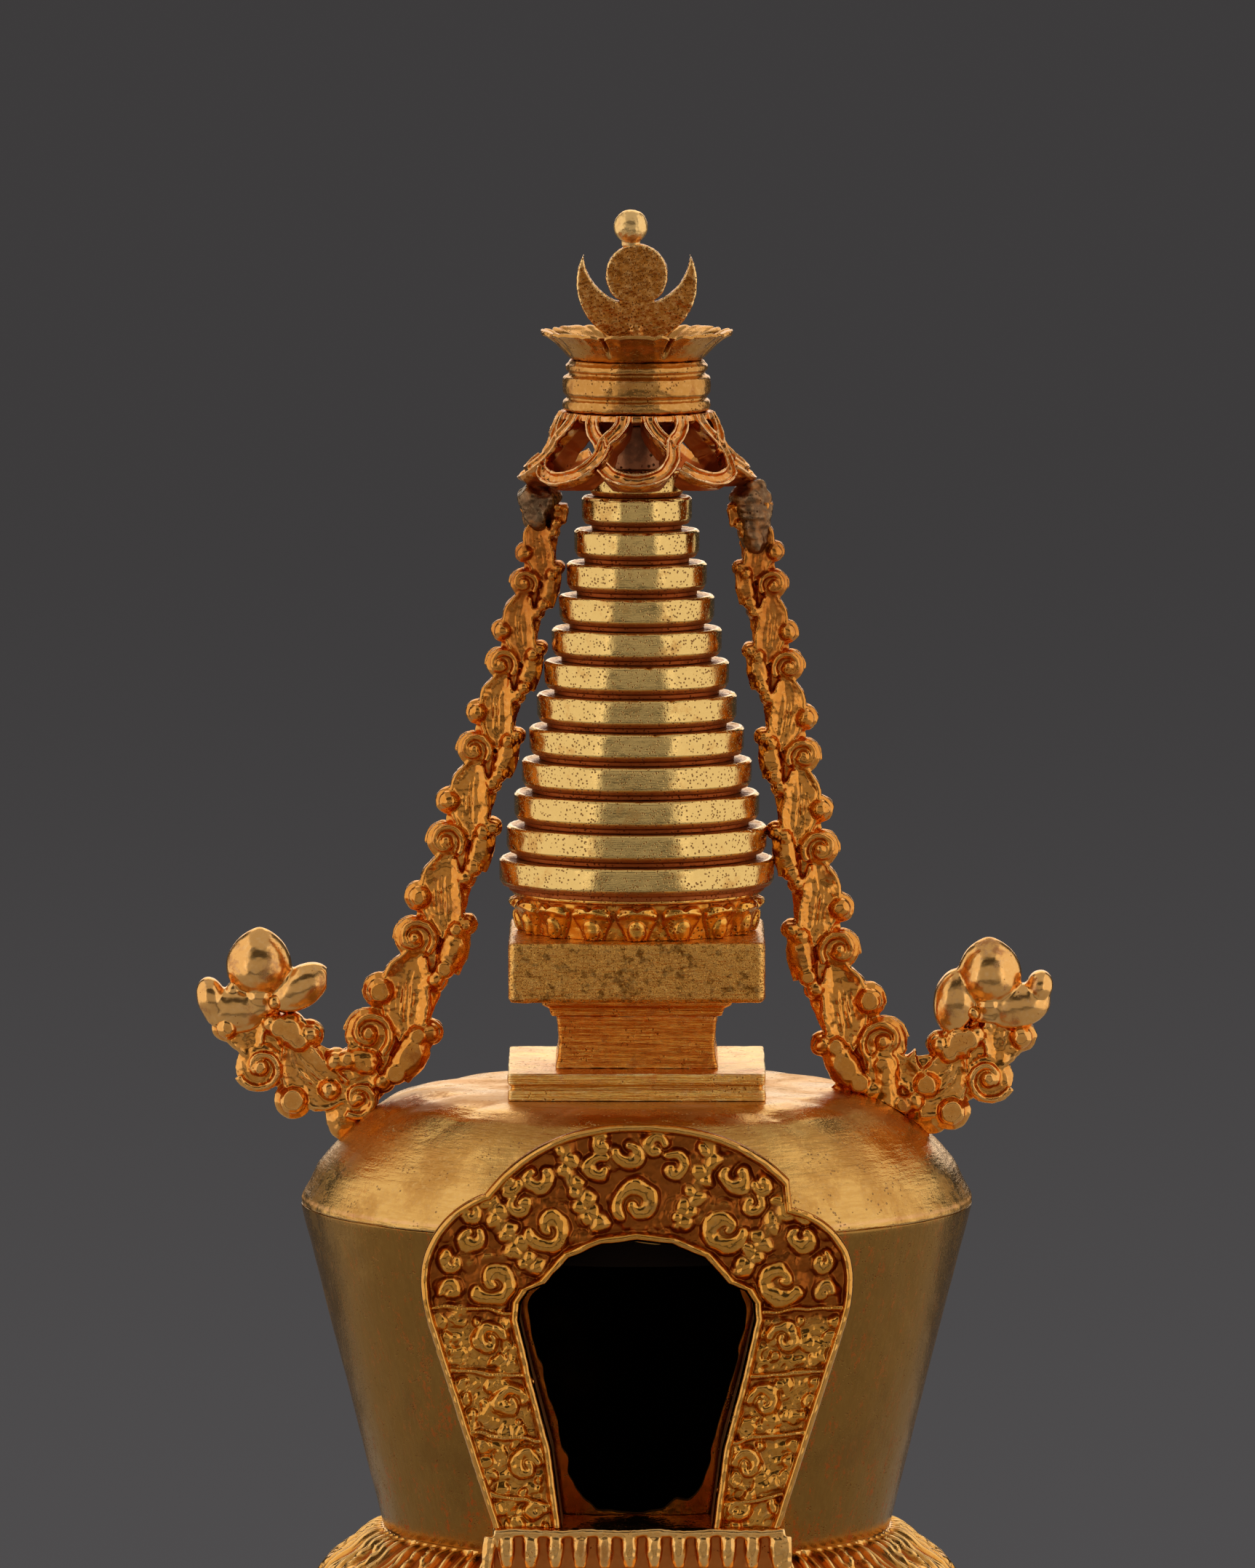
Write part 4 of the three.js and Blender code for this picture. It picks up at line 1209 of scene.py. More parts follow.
def sill_drop(x, rail_y):
    """One hanging drop of the fringe, with its bead and its backing."""
    top = NICHE_FLOOR
    heights = np.linspace(top - 0.75, top - 3.0, 16)
    shape = 0.64 * np.sqrt(np.clip(1 - ((heights - top + 1.4) / 1.9) ** 2, 0.01, 1))
    path = np.stack([np.full(16, x), np.full(16, rail_y + 0.15), heights], -1)
    return [tube(path, shape, 12), ball([x, rail_y + 0.05, top - 1.05], [0.56, 0.5, 0.45]),
            ball([x, rail_y + 0.5, top - 2.0], [0.3, 0.4, 1.2])]


def sill(finish):
    """Ledge in front of the niche: a rail above a fringe of hanging drops."""
    top, pitch = NICHE_FLOOR, 1.83
    rail_y = SILL_FRONT + 0.42
    solids = sill_rail(rail_y)
    solids.append(sill_ledge(rail_y + 0.7))
    for k in range(-5, 7):
        solids += sill_drop(k * pitch - 0.55, rail_y)
    for x, lean in ((-SILL_HALF + 0.62, -0.35), (SILL_HALF - 0.45, 0.05)):
        foot = [[x, rail_y + 0.1, top - 0.6], [x + lean * 0.6, rail_y + 0.05, top - 2.0],
                [x + lean, rail_y + 0.1, top - 3.4]]
        solids.append(tube(spline(foot, 14), taper(14, 0.5, 0.52, 0.42), 12))
    # worn lumps at the right end
    for inset, z, r in ((0.6, 61.9, 0.42), (0.5, 61.0, 0.46), (0.9, 60.6, 0.4)):
        solids.append(ball([SILL_HALF - inset, rail_y, z], r))
    mesh = uneven(fused("sill", solids, voxel=0.11, passes=3), (0.02, 0.6, 51), (0.02, 2.5, 52))
    clamped(mesh, [-SILL_HALF, SILL_FRONT, SILL_LOW], [SILL_HALF, -15.84, top])
    # The ground behind the hanging drops is painted in the deep tone, as shade between them
    piece("niche_sill_cast", mesh, finish, "base", "niche_sill",
          passes=24, depth=0.22, hollow=lambda p: 0.95 * smoothstep(p[:, 1] - SILL_FRONT, 0.6, 1.0)
          * smoothstep(top - p[:, 2], 0.5, 0.8))


# ------------------------------------------------------------------ parasol and crown
def sweep(path, side, up, section):
    """Closed bar: a section of [across, up] points carried along a path."""
    section = np.array(section, float)
    if section.ndim == 2:
        section = np.broadcast_to(section, (len(path), *section.shape))
    rings = (path[:, None] + section[..., :1] * side[:, None] + section[..., 1:] * up[:, None])
    sides = section.shape[1]
    return rings.reshape(-1, 3), capped_faces(len(path), sides)


SKIRT_LINE = np.array([
    [9.0, 139.3], [8.35, 140.3], [7.85, 140.8], [7.0, 141.9], [6.55, 143.0], [5.95, 144.1],
    [5.6, 144.7],
])


def skirt_band(stations, turn, half, thick, lift):
    """A double-ridged band laid on the bell, through stations of [degrees, height 0 to 1]."""
    line = spline(stations, 60)
    z = SKIRT_LOW + 0.2 + line[:, 1] * (SKIRT_TOP - SKIRT_LOW - 0.3)
    radius = np.interp(z, SKIRT_LINE[:, 1], SKIRT_LINE[:, 0]) - 0.34 + lift
    angle = np.radians(line[:, 0]) + turn
    path = np.stack([radius * np.sin(angle), -radius * np.cos(angle), z], -1)
    tangent = np.gradient(path, axis=0)
    tangent /= np.linalg.norm(tangent, axis=1)[:, None]
    bell_slope = 0.62
    out = np.stack([np.sin(angle), -np.cos(angle), np.full(60, bell_slope)], -1)
    out /= np.linalg.norm(out, axis=1)[:, None]
    side = np.cross(tangent, out)
    side /= np.linalg.norm(side, axis=1)[:, None]
    up = np.cross(side, tangent)
    rim, face = 0.15, thick / 2
    right = [[half - 0.2, -face - 1.2], [half, face - 0.1], [half - 0.05, face + 0.16],
             [half - rim - 0.05, face + 0.16], [half - 2 * rim, face - 0.14]]
    section = [[-x, y] for x, y in right] + [[0, face - 0.2]] + right[::-1]
    return sweep(path, side, up, section)


def parasol_skirt(finish):
    """Open bell of eight lobes: bands that cross, part round a window and meet again."""
    solids = []
    main = [[35, 1.02], [34.3, 0.86], [29.5, 0.71], [24.5, 0.6], [22.8, 0.46], [20, 0.31],
            [12, 0.13], [0, 0.05], [-11, 0.11], [-19, 0.24]]
    second = [[9.5, 1.02], [10.3, 0.86], [14.5, 0.71], [19.6, 0.6], [22, 0.5]]
    for k in range(SKIRT_LOBES):
        turn = k * TAU / SKIRT_LOBES
        solids.append(skirt_band(main, turn, 0.58, 0.95, -0.1))
        solids.append(skirt_band(second, turn, 0.55, 0.95, -0.2))
    top = revolve(rounded([[BORE_R + 0.3, SKIRT_TOP - 0.02], [5.6, SKIRT_TOP - 0.02],
                           [5.75, SKIRT_TOP - 0.5], [5.0, SKIRT_TOP - 0.75],
                           [BORE_R + 0.3, SKIRT_TOP - 0.75]], 0.1), 96)
    solids.append((top.reshape(-1, 3), grid_faces(*top.shape[:2], True, True).tolist()))
    mesh = uneven(fused("skirt", solids, voxel=0.07, passes=1), (0.02, 0.7, 61))
    edge = high("parasol_skirt")[0]
    clamped(mesh, [-edge, -edge, SKIRT_LOW - 0.2], [edge, edge, SKIRT_TOP])
    piece("parasol_skirt_bands", mesh, finish, "lid", "parasol_skirt",
          passes=30, depth=0.22, hollow=skirt_depth)


def skirt_depth(points):
    """How far behind the bell's outer skin the skirt's side walls lie, as a darkening that paints
    shade.
    """
    skin = np.interp(points[:, 2], SKIRT_LINE[:, 1], SKIRT_LINE[:, 0])
    return smoothstep(skin - axis_distance(points), 0.35, 1.0)


def parasol_band(finish):
    """Collar over the bell: a fillet, a bulge, a hollow and a top bead."""
    inner = BORE_R + 0.3
    z = SKIRT_TOP
    grid = turned([
        [inner, z + 0.01], [5.3, z + 0.01], [5.52, z + 0.18], [5.6, z + 0.5], [5.52, z + 0.85],
        [5.28, z + 1.0], [5.3, z + 1.15], [5.55, z + 1.4], [5.61, z + 2.0], [5.55, z + 2.6],
        [5.2, z + 2.8], [5.1, z + 3.0], [5.35, z + 3.15], [5.38, z + 3.5], [5.15, z + 3.7],
        [5.05, BAND_TOP], [inner, BAND_TOP],
    ], ease=0.12, step=0.12, columns=256)
    grid = pushed(grid, swells(grid.reshape(-1, 3), (0.02, 1.8, 65), (0.01, 0.6, 66)))
    grid[..., 2] = np.clip(grid[..., 2], z, BAND_TOP)
    piece("parasol_band_turned", ring_mesh("band", grid), finish, "lid", "parasol_band",
          passes=12, depth=0.08)


def crown(finish):
    """Open lotus cup with slits between its petals and braced lips."""
    columns, pitch = 768, TAU / CROWN_PETALS
    grid = turned([
        [BORE_R + 0.2, BAND_TOP + 0.01], [4.9, BAND_TOP + 0.01], [5.25, 148.9], [5.7, 149.4],
        [6.25, 150.0], [6.9, 150.5], [CROWN_R - 0.02, CROWN_TOP - 0.3],
        [CROWN_R - 0.1, CROWN_TOP - 0.04], [6.75, CROWN_TOP - 0.12], [6.1, 150.45],
        [5.3, 149.95], [4.5, 149.45], [BORE_R + 0.2, 149.42],
    ], ease=0.12, step=0.09, columns=columns)
    angle = column_angles(columns)
    place = (angle / pitch + 0.5) % 1 - 0.5
    radius = axis_distance(grid)
    t = smoothstep(grid[..., 2], BAND_TOP + 0.2, CROWN_TOP - 0.2)
    from_gap = (0.5 - np.abs(place)) * pitch * radius
    slit = 1 - smoothstep(from_gap, 0.05, 0.28)
    notch = 1 - smoothstep(from_gap, 0.0, 0.9)
    shell = smoothstep(radius, 4.4, 5.0)
    cusp = np.exp(-((np.abs(place) * pitch * radius - 1.3) / 0.25) ** 2)
    push = shell * (-0.9 * slit * t - 0.2 * notch * t + 0.1 * t * np.cos(place * TAU / 2))
    grid[..., 2] -= shell * t * (0.22 * notch + 0.08 * cusp)
    grid = widened(grid, np.clip((radius + push) / radius, 0, (CROWN_R - 0.01) / radius))
    noise = 0.02 * ripple(grid.reshape(-1, 3), 1.0, 71).reshape(radius.shape) * shell
    grid[..., 2] = np.clip(grid[..., 2] + noise, BAND_TOP, CROWN_TOP)
    piece("crown_lotus_petals", ring_mesh("crown", grid), finish, "lid", "crown_lotus",
          passes=16, depth=0.1)


def arc_points(x, z, radius, start, end, n):
    """n points round a circle's arc; start and end are in degrees."""
    a = np.radians(np.linspace(start, end, n))
    return np.stack([x + radius * np.cos(a), z + radius * np.sin(a)], -1)


def crescent(radius, centre_z, hollow_r, hollow_z):
    """Outline of a moon: a circle less a smaller one set higher, its foot cut level."""
    rise = centre_z - hollow_z
    tip_z = centre_z + (radius ** 2 - hollow_r ** 2 + rise ** 2) / (-2 * rise)
    outer_tip = math.degrees(math.asin((tip_z - centre_z) / radius))
    inner_tip = math.degrees(math.asin((tip_z - hollow_z) / hollow_r))
    outside = arc_points(0, centre_z, radius - 0.05, 180 - outer_tip, 360 + outer_tip, 90)
    outside[:, 1] = np.maximum(outside[:, 1], 150.15)
    inside = arc_points(0, hollow_z, hollow_r + 0.03, 360 + inner_tip, 180 - inner_tip, 70)
    return np.vstack([outside, inside[1:-1]])


def sun_and_moon(finish):
    """Sun disc in a crescent moon, cut from one thick plate, with the tenon below."""
    lowest, highest = low("finial_sun_moon"), high("finial_sun_moon")
    half_thick, sun_z, sun_r = 0.63, 155, 2.33
    tenon = np.stack([np.zeros(8), np.zeros(8), np.linspace(144.4, 151.2, 8)], -1)
    solids = [
        slab(crescent(highest[0], 154.4, 4.03, 156.8), -half_thick, half_thick),
        slab(arc_points(0, sun_z, sun_r, 0, 356, 90), -half_thick, half_thick),
        tube(tenon, 0.8, 24),
    ]
    mesh = uneven(fused("finial", solids, voxel=0.06, passes=10),
                  (0.025, 1.2, 81), (0.012, 0.35, 82))
    clamped(mesh, lowest, highest)
    piece("finial_sun_moon_cast", mesh, finish, "finial", "finial_sun_moon",
          passes=24, depth=0.07)


def jewel(finish):
    """Loose-cast ball on the sun's top."""
    lowest, highest = low("finial_jewel"), high("finial_jewel")
    x, top = (lowest[0] + highest[0]) / 2, highest[2]
    solids = [ball([x, 0, top - 1.3], 1.29, rows=40, cols=60),
              ball([x, 0, top - 2.6], [0.75, 0.6, 0.45])]
    mesh = uneven(fused("jewel", solids, voxel=0.08, passes=3), (0.02, 1.3, 85), (0.008, 0.3, 86))
    clamped(mesh, lowest - [0, 0, 0.4], highest)
    piece("finial_jewel_cast", mesh, finish, "finial", "finial_jewel",
          passes=8, depth=0.05)


# ------------------------------------------------------------------ ribbons and flowers
# stations of each ribbon's stem and arm as [x, z, half width]
LEFT_STEM = [
    [-6.95, 137.6, 1.6], [-7.35, 132.9, 1.65], [-8.5, 129, 1.8], [-9.1, 126, 1.9],
    [-10.3, 122.1, 2.0], [-11.5, 118, 2.15], [-12.9, 113.3, 2.3], [-14.1, 109.1, 2.4],
    [-15.4, 104.7, 2.6], [-17.1, 100.3, 2.9], [-19.25, 96.2, 3.0], [-21.9, 92.0, 2.3],
]
LEFT_ARM = [[-20.5, 93.7, 2.4], [-24.7, 94.5, 3.1], [-28.0, 96.5, 3.0], [-29.3, 98.9, 2.5]]
RIGHT_STEM = [
    [8.5, 137.6, 1.5], [9.24, 132.9, 1.75], [9.95, 127.9, 1.85], [10.6, 124.6, 2.0],
    [11.4, 119.6, 2.1], [12.0, 115.2, 2.2], [13.1, 109.7, 2.3], [13.9, 104.7, 2.45],
    [15, 100.3, 2.75], [17.2, 96.4, 3.0], [20.1, 92.3, 2.9],
]
RIGHT_ARM = [[18.5, 93.7, 2.5], [22.9, 93.8, 3.1], [26.1, 95.6, 3.0], [27.4, 98.1, 2.5]]
# lumps that join each ribbon to the lid, as [x, z, half width, half height]
LEFT_FEET = [[-22.1, 91.2, 1.5, 2.0], [-21.0, 94.2, 2.4, 1.6]]
RIGHT_FEET = [[18.2, 93.0, 3.6, 1.2], [22.2, 91.4, 1.8, 1.7]]
# petals as [x, z, half length, half width, tilt] and buds as [x, z, radius, height]
LEFT_PETALS = [[-30.4, 99.2, 2.45, 1.7, -0.05], [-25.5, 100.9, 2.5, 1.5, 0.6],
               [-32.2, 100.1, 1.1, 1.6, 0.3]]
LEFT_BUD = [-28.6, 102.9, 2.5, 5.2]
RIGHT_PETALS = [[24.1, 99.9, 1.6, 2.4, -0.15], [28.9, 99.5, 2.5, 1.6, 0.3],
                [30.5, 101.0, 1.0, 1.2, -0.3]]
RIGHT_BUD = [26.7, 102.2, 2.45, 5.2]


def leaf_chain(stations, outer_side, first, grow):
    """Two interlocked rows down the stations: dished leaves that start under an outer curl, and
    bean-shaped buds along the inner edge, over a thin web. Both faces carry them."""
    line = spline(stations, 500)
    run = np.concatenate([[0], np.cumsum(np.linalg.norm(np.diff(line[:, :2], axis=0), axis=1))])

    def at(distance, offset=0.0):
        """The point this far along and this many half widths outwards, the half width and the
        direction there."""
        distance = np.clip(distance, 0, run[-1])
        here, there = (np.array([np.interp(d, run, line[:, k]) for k in range(3)])
                       for d in (distance, distance - 0.05 if distance > 1 else distance + 0.05))
        along = (here - there)[:2] * (1 if distance > 1 else -1)
        along /= np.linalg.norm(along)
        side = np.array([along[1], -along[0]])
        side *= 1 if side[0] * outer_side > 0 else -1
        return here[:2] + side * offset * here[2], here[2], along

    core = line[6:-6:9]
    points, faces = tube(np.insert(core[:, :2], 1, 0, axis=1), core[:, 2] * 0.72, 16)
    points[:, 1] *= 0.24
    solids = [(points, faces)]
    start, length = -0.5, first
    while start < run[-1] - 1.2:
        for face in (-1, 1):
            solids.extend(leaf(at, start + length * 0.26, length * 0.84, face))
            spot, wide, along = at(start + length * 0.12, 0.5)
            solids.extend(volute(spot, wide * 0.66, face, outer_side * face, along))
            solids.extend(inner_bud(at, start + length * 0.12, length * 0.22, face))
            for share, offset, size in ((0.72, 0.78, 0.34), (0.42, -0.45, 0.25),
                                        (0.86, -0.85, 0.24)):
                spot, wide, _ = at(start + length * share, offset)
                solids.append(ball([spot[0], face * 0.85, spot[1]], wide * size))
                solids.append(ball([spot[0], face * 0.3, spot[1]],
                                   [wide * size * 1.4, 0.7, wide * size * 1.4]))
        start += length
        length *= grow
    return solids


def leaf(at, start, length, face):
    """A dished, veined leaf with rolled edges, from the outer side to a tip at the inner edge."""
    n = 20
    shares = np.linspace(0.0, 1.0, n)
    offsets = np.interp(shares, [0, 0.3, 0.7, 1], [0.3, 0.28, -0.05, -0.62])
    widths = np.interp(shares, [0, 0.2, 0.5, 0.8, 1], [0.3, 0.62, 0.72, 0.6, 0.2])
    spots = [at(start + length * t, o) for t, o in zip(shares, offsets)]
    wide = np.array([w for _, w, _ in spots]) * widths
    centre = np.array([[p[0], 0, p[1]] for p, _, _ in spots])
    edge = np.array([at(start + length * t, o - w)[0] - p[0]
                     for t, o, w, p in zip(shares, offsets, widths, spots)])
    across = np.insert(edge, 1, 0, axis=1)
    across /= np.linalg.norm(across, axis=1)[:, None]
    up = np.broadcast_to(np.array([0, face, 0.0]), centre.shape)
    outline = np.array([[-0.96, 0.1], [-1, 0.72], [-0.9, 0.98], [-0.74, 0.86], [-0.4, 0.7],
                        [0, 0.66], [0.4, 0.76], [0.72, 0.98], [0.9, 1.12], [1, 0.9],
                        [0.96, 0.1]])
    section = np.stack([outline[:, 0] * wide[:, None],
                        np.broadcast_to(outline[:, 1], (n, len(outline)))], -1)
    made = [sweep(centre, across, up, section)]
    for share in (-0.42, -0.08, 0.26):
        vein = centre + across * (wide * share)[:, None] + up * (0.7 + 0.08 * share)
        made.append(tube(vein[3:17], taper(14, 0.05, 0.15, 0.05), 6))
    return made


def inner_bud(at, middle, half, face):
    """Bean-shaped bud on the inner edge: a plump body with a bead at each end."""
    turns = np.linspace(-1, 1, 12)
    spots = [at(middle + half * t, -0.55 - 0.12 * math.cos(t * 1.5)) for t in turns]
    wide = spots[6][1]
    centre = np.array([[p[0], face * 0.42, p[1]] for p, _, _ in spots])
    made = [tube(centre, wide * 0.46 * np.sin(np.linspace(0.6, math.pi - 0.6, 12)), 16)]
    for k, size in ((1, 0.27), (10, 0.3)):
        made.append(ball([centre[k][0], face * 0.95, centre[k][2]], wide * size))
    rim = np.array([[p[0], face * 0.75, p[1]]
                    for p in (at(middle + half * t, -0.98)[0] for t in turns * 0.9)])
    made.append(tube(rim, taper(12, 0.16, 0.3, 0.16), 8))
    return made


def volute(spot, radius, face, hand, along):
    """Curled leaf end: a dished disc, a thin spiral rim and a bead in the middle."""
    start = math.degrees(math.atan2(along[1], along[0])) + 60 * hand
    disc = ball([spot[0], face * 0.4, spot[1]], [radius * 0.95, 0.62, radius * 0.95])
    rim = curl(spot[0], spot[1], radius * 0.9, start, 1.05, hand, 0.3, 40)
    raised = np.insert(rim, 1, face * np.linspace(1.0, 1.15, 40), axis=1)
    middle = ball([spot[0], face * 1.08, spot[1]], radius * 0.3)
    return [disc, tube(raised, taper(40, 0.2, 0.2, 0.13) * min(1.5, radius), 8), middle]


def ribbon(side_name, stem, arm, feet, finish):
    """One cast ribbon from the parasol's edge down to the lid, with the arm for its flower."""
    s = -1 if side_name == "left" else 1
    solids = leaf_chain(stem, s, 5.9, 1.07)
    solids += leaf_chain(arm, s, 7.2, 1.0)
    for x, z, rx, rz in feet:
        solids.append(ball([x, 0, z], [rx, 0.85, rz]))
    node = f"{side_name}_ribbon"
    mesh = uneven(fused(node, solids, voxel=0.1, passes=3), (0.03, 1.1, 91 + s), (0.01, 0.4, 95))
    keep_clear(mesh, node)
    # The relief colour runs darker towards the top of the ribbon and lighter out on the arms,
    # where the lighter tone is painted highlight
    piece(f"{node}_cast", mesh, finish, "lid", node, passes=30, depth=0.3,
          hollow=lambda p: 0.5 * smoothstep(p[:, 2], 112, 136)
          - 0.35 * smoothstep(np.abs(p[:, 0]), 20.5, 24))


def keep_clear(mesh, node):
    """Holds a ribbon's points off the lid's shoulder and within the node's own thickness."""
    half_thick = 1.6
    points, _, _ = mesh_arrays(mesh)
    floor = np.interp(axis_distance(points), *np.transpose([*LID_CURVE, LID_SHOULDER]))
    points[:, 2] = np.maximum(points[:, 2], floor - 0.05)
    points[:, 1] = np.clip(points[:, 1], -half_thick, half_thick)
    points[:, 2] = np.minimum(points[:, 2], high(node)[2])
    set_points(mesh, points)


def petal(x, z, length, width, tilt, face):
    """Bean-shaped petal: plump, slightly dished, its lower edge rolled."""
    c, s = math.cos(tilt), math.sin(tilt)
    a = np.linspace(math.radians(160), math.radians(380), 36)
    rim_x = (length - 0.3) * np.cos(a)
    rim_z = (width - 0.28) * np.sin(a)
    rim = np.stack([x + rim_x * c - rim_z * s, np.full(36, face * 0.95),
                    z + rim_x * s + rim_z * c], -1)
    cup = ball([x, face * 0.35, z], [length * 1.02, 1.3, width * 1.04], tilt, 48, 80)
    return [cup, tube(rim, taper(36, 0.14, 0.3, 0.14), 10)]


def flower(side_name, petals, bud, finish):
    """Egg-shaped bud among dished petals, modelled on both faces."""
    node = f"{side_name}_flower"
    lowest, highest = low(node), high(node)
    x, z, r, height = bud
    egg = spline([[0, 0.25], [0.1, 0.68], [0.25, 0.93], [0.42, 1.0], [0.6, 0.94], [0.78, 0.74],
                  [0.92, 0.42], [1, 0.1]], 64)
    path = np.stack([np.full(64, x), np.zeros(64), z + height * (egg[:, 0] - 0.5)], -1)
    points, faces = tube(path, r * egg[:, 1], 80)
    points[:, 1] *= 0.92
    solids = [(points, faces)]
    for face in (-1, 1):
        for px, pz, length, width, tilt in petals:
            solids.extend(petal(px, pz, length, width, tilt, face))
        for offset in (-1, 1):
            solids.append(ball([x + offset * r * 0.8, face * 0.7, z - height * 0.4], 0.5))
        solids.append(ball([x, face * 0.8, z - height * 0.5], [1.0, 0.8, 0.7]))
    stalk = np.array([[x, 0, z - height * 0.3], [x, 0, lowest[2] + 0.3]])
    solids.append(tube(evened(stalk, 8), 1.4, 20))
    mesh = uneven(fused(node, solids, voxel=0.09, passes=16), (0.02, 2.2, 97), (0.004, 0.5, 98))
    clamped(mesh, lowest - [0.6, 0.3, 1.5], highest + [0.6, 0.3, 1.2])
    piece(f"{node}_cast", mesh, finish, "lid", node, passes=30, depth=0.5)


def solder_lumps(finish):
    """Blobs of solder that tie the ribbon tops to the parasol; the right one runs down."""
    for name, lean, drop in (("left_solder", -0.05, 1.6), ("right_solder", 0.12, 3.4)):
        lowest, highest = low(name), high(name)
        centre = (lowest + highest) / 2
        solids = [ball(centre, [1.3, 1.25, 0.95])]
        for k in range(9):
            a = k * 2.4
            solids.append(ball(centre + [0.75 * math.cos(a), 0.7 * math.sin(a),
                                         0.4 * math.sin(a * 1.7)], 0.6))
        for t in np.linspace(0, 1, 6):
            solids.append(ball(centre + [lean * drop * t, 0, -0.3 - drop * t],
                               [1.65 - 0.6 * t, 1.95 - 0.25 * t, 1.0]))
        mesh = uneven(fused(name, solids, voxel=0.09, passes=3),
                      (0.1, 1.6, 101), (0.015, 0.5, 102))
        clamped(mesh, lowest - [1, 1.2, drop + 1.5], highest + [1, 1.2, 0.9])
        piece(f"{name}_lump", mesh, finish, "lid", name, passes=14, depth=0.1)


def neck(finish):
    """Turned neck inside the parasol."""
    lowest, highest = low("spire_neck"), high("spire_neck")
    grid = turned([
        [BORE_R, lowest[2] + 0.01], [2.88, lowest[2] + 0.01], [2.7, 141.4], [2.7, 142.4],
        [2.88, highest[2]], [BORE_R, highest[2]],
    ], ease=0.15, step=0.2, columns=96)
    mesh = ring_mesh("spire_neck", grid)
    piece("spire_neck_turned", mesh, finish, "lid", "spire_neck", passes=6, depth=0.08)


def hidden_metal(finish):
    """The central rod, its key and the base plate keep their CAD shapes under a copper finish."""
    for node in ("spire_rod", "rod_key", "base_plate"):
        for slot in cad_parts[node].material_slots:
            slot.material = finish


# ------------------------------------------------------------------ base
def petal_row(along, count, up):
    """Relief of a row of round-topped petals; up runs from 0 at their root to 1 at the tip."""
    place = (along * count / 2 + (count % 2) / 2) % 1 - 0.5
    edge = np.abs(place) * 2
    tip = 1 - 0.42 * edge ** 2.4
    body = smoothstep(tip - up, 0, 0.12) * smoothstep(1 - edge, 0.02, 0.16)
    inner = smoothstep(tip - 0.26 - up, 0, 0.12) * smoothstep(0.72 - edge, 0, 0.16)
    core = smoothstep(tip - 0.48 - up, 0, 0.14) * smoothstep(0.42 - edge, 0, 0.2)
    return 0.5 * body + 0.4 * inner + 0.3 * core


def square_distance(points):
    """Half width of the square through each point."""
    return np.maximum(np.abs(points[:, 0]), np.abs(points[:, 1]))


def foot_relief(along, points):
    """A row of petals down the foot's slope."""
    root_z, tip_z = 12.6, 3.4
    up = (root_z - points[:, 2]) / (root_z - tip_z)
    shell = smoothstep(square_distance(points) - (36.5 + up * 4.0), 0, 1.0)
    shell = shell * (up > 0) * (up < 1.05)
    return petal_row(along, FOOT_PETALS, np.clip(up, 0, 1.2)) * shell * 0.9 - 0.95 * shell


def dado_relief(along, points):
    """Chased lozenges between a framing edge and corner pillars."""
    up = np.abs(points[:, 2] - (PLINTH_TOP + DADO_TOP) / 2) / 5.5
    pillar = smoothstep(np.abs(along), 0.84, 0.88) * 0.55
    framing = smoothstep(up, 0.76, 0.84) * 0.4
    cell = (along / 0.28 + 0.5) % 1 - 0.5
    lozenge = np.abs(cell) * 2.1 + up * 1.35
    chased = 0.45 * smoothstep(0.95 - lozenge, 0, 0.16) - 0.22 * smoothstep(
        0.6 - lozenge, 0, 0.12) + 0.4 * smoothstep(0.3 - lozenge, 0, 0.15)
    field = np.where(np.abs(along) < 0.8, chased, 0)
    return (np.maximum(np.maximum(pillar, framing), field) - 0.6) * (square_distance(points) > 29)


def cornice_relief(along, points):
    """A row of short blocks along the cornice."""
    place = (along * 23 / 2) % 1 - 0.5
    block = np.exp(-((points[:, 2] - 34.7) / 0.55) ** 4)
    block = smoothstep(0.42 - np.abs(place), 0, 0.12) * block
    return (0.3 * block - 0.3) * (square_distance(points) > 37)


def base_tiers(finish):
    """Square lotus foot, throne and steps, worn and slightly uneven."""
    cavity = 24.0
    foot_out = FOOT_HALF - 0.1
    square_tier("base_lotus", "base_lotus_petals", [
        [foot_out, 0.02], [foot_out, 2.4], [42.6, 2.9], [42.7, 3.4], [42.9, 5], [41.5, 9],
        [38, 12.6], [37.2, 13], [37.2, FOOT_TOP], [35, FOOT_TOP], [35, 12], [40.8, 4],
        [40.8, 0.02],
    ], 2.2, finish, "base", dents=0.05, step=0.22, field=foot_relief, per_side=300,
                passes=24, depth=0.3)
    square_tier("throne_plinth", "throne_plinth_cast", [
        [36.5, FOOT_TOP], [36.5, 15.5], [34.7, 15.9], [34.5, 17.3], [32.7, 17.8],
        [32.6, PLINTH_TOP], [cavity, PLINTH_TOP], [cavity, FOOT_TOP],
    ], 1.2, finish, "base", dents=0.06)
    square_tier("throne_dado", "throne_dado_chased", [
        [31, PLINTH_TOP], [31, DADO_TOP], [cavity, DADO_TOP], [cavity, PLINTH_TOP],
    ], 0.8, finish, "base", dents=0.05, step=0.16, field=dado_relief, per_side=420,
                passes=24, depth=0.25)
    square_tier("throne_cornice", "throne_cornice_cast", [
        [33, DADO_TOP], [33.2, 31.3], [36, 31.9], [36, 33.1], [38.5, 33.6],
        [38.5, CORNICE_TOP], [cavity, CORNICE_TOP], [cavity, DADO_TOP],
    ], 1.2, finish, "base", dents=0.05, step=0.22, field=cornice_relief,
                per_side=300, passes=20, depth=0.2)
    hole = 17
    for number in range(1, 5):
        node = f"throne_step_{number}"
        half, bottom, top = high(node)[0], low(node)[2], high(node)[2]
        square_tier(node, f"{node}_cast", [
            [half, bottom], [half, top - 1.1], [half - 0.15, top - 0.8], [half - 0.4, top - 0.7],
            [half - 0.4, top], [hole, top], [hole, bottom],
        ], 1.0, finish, "base", dents=0.07)


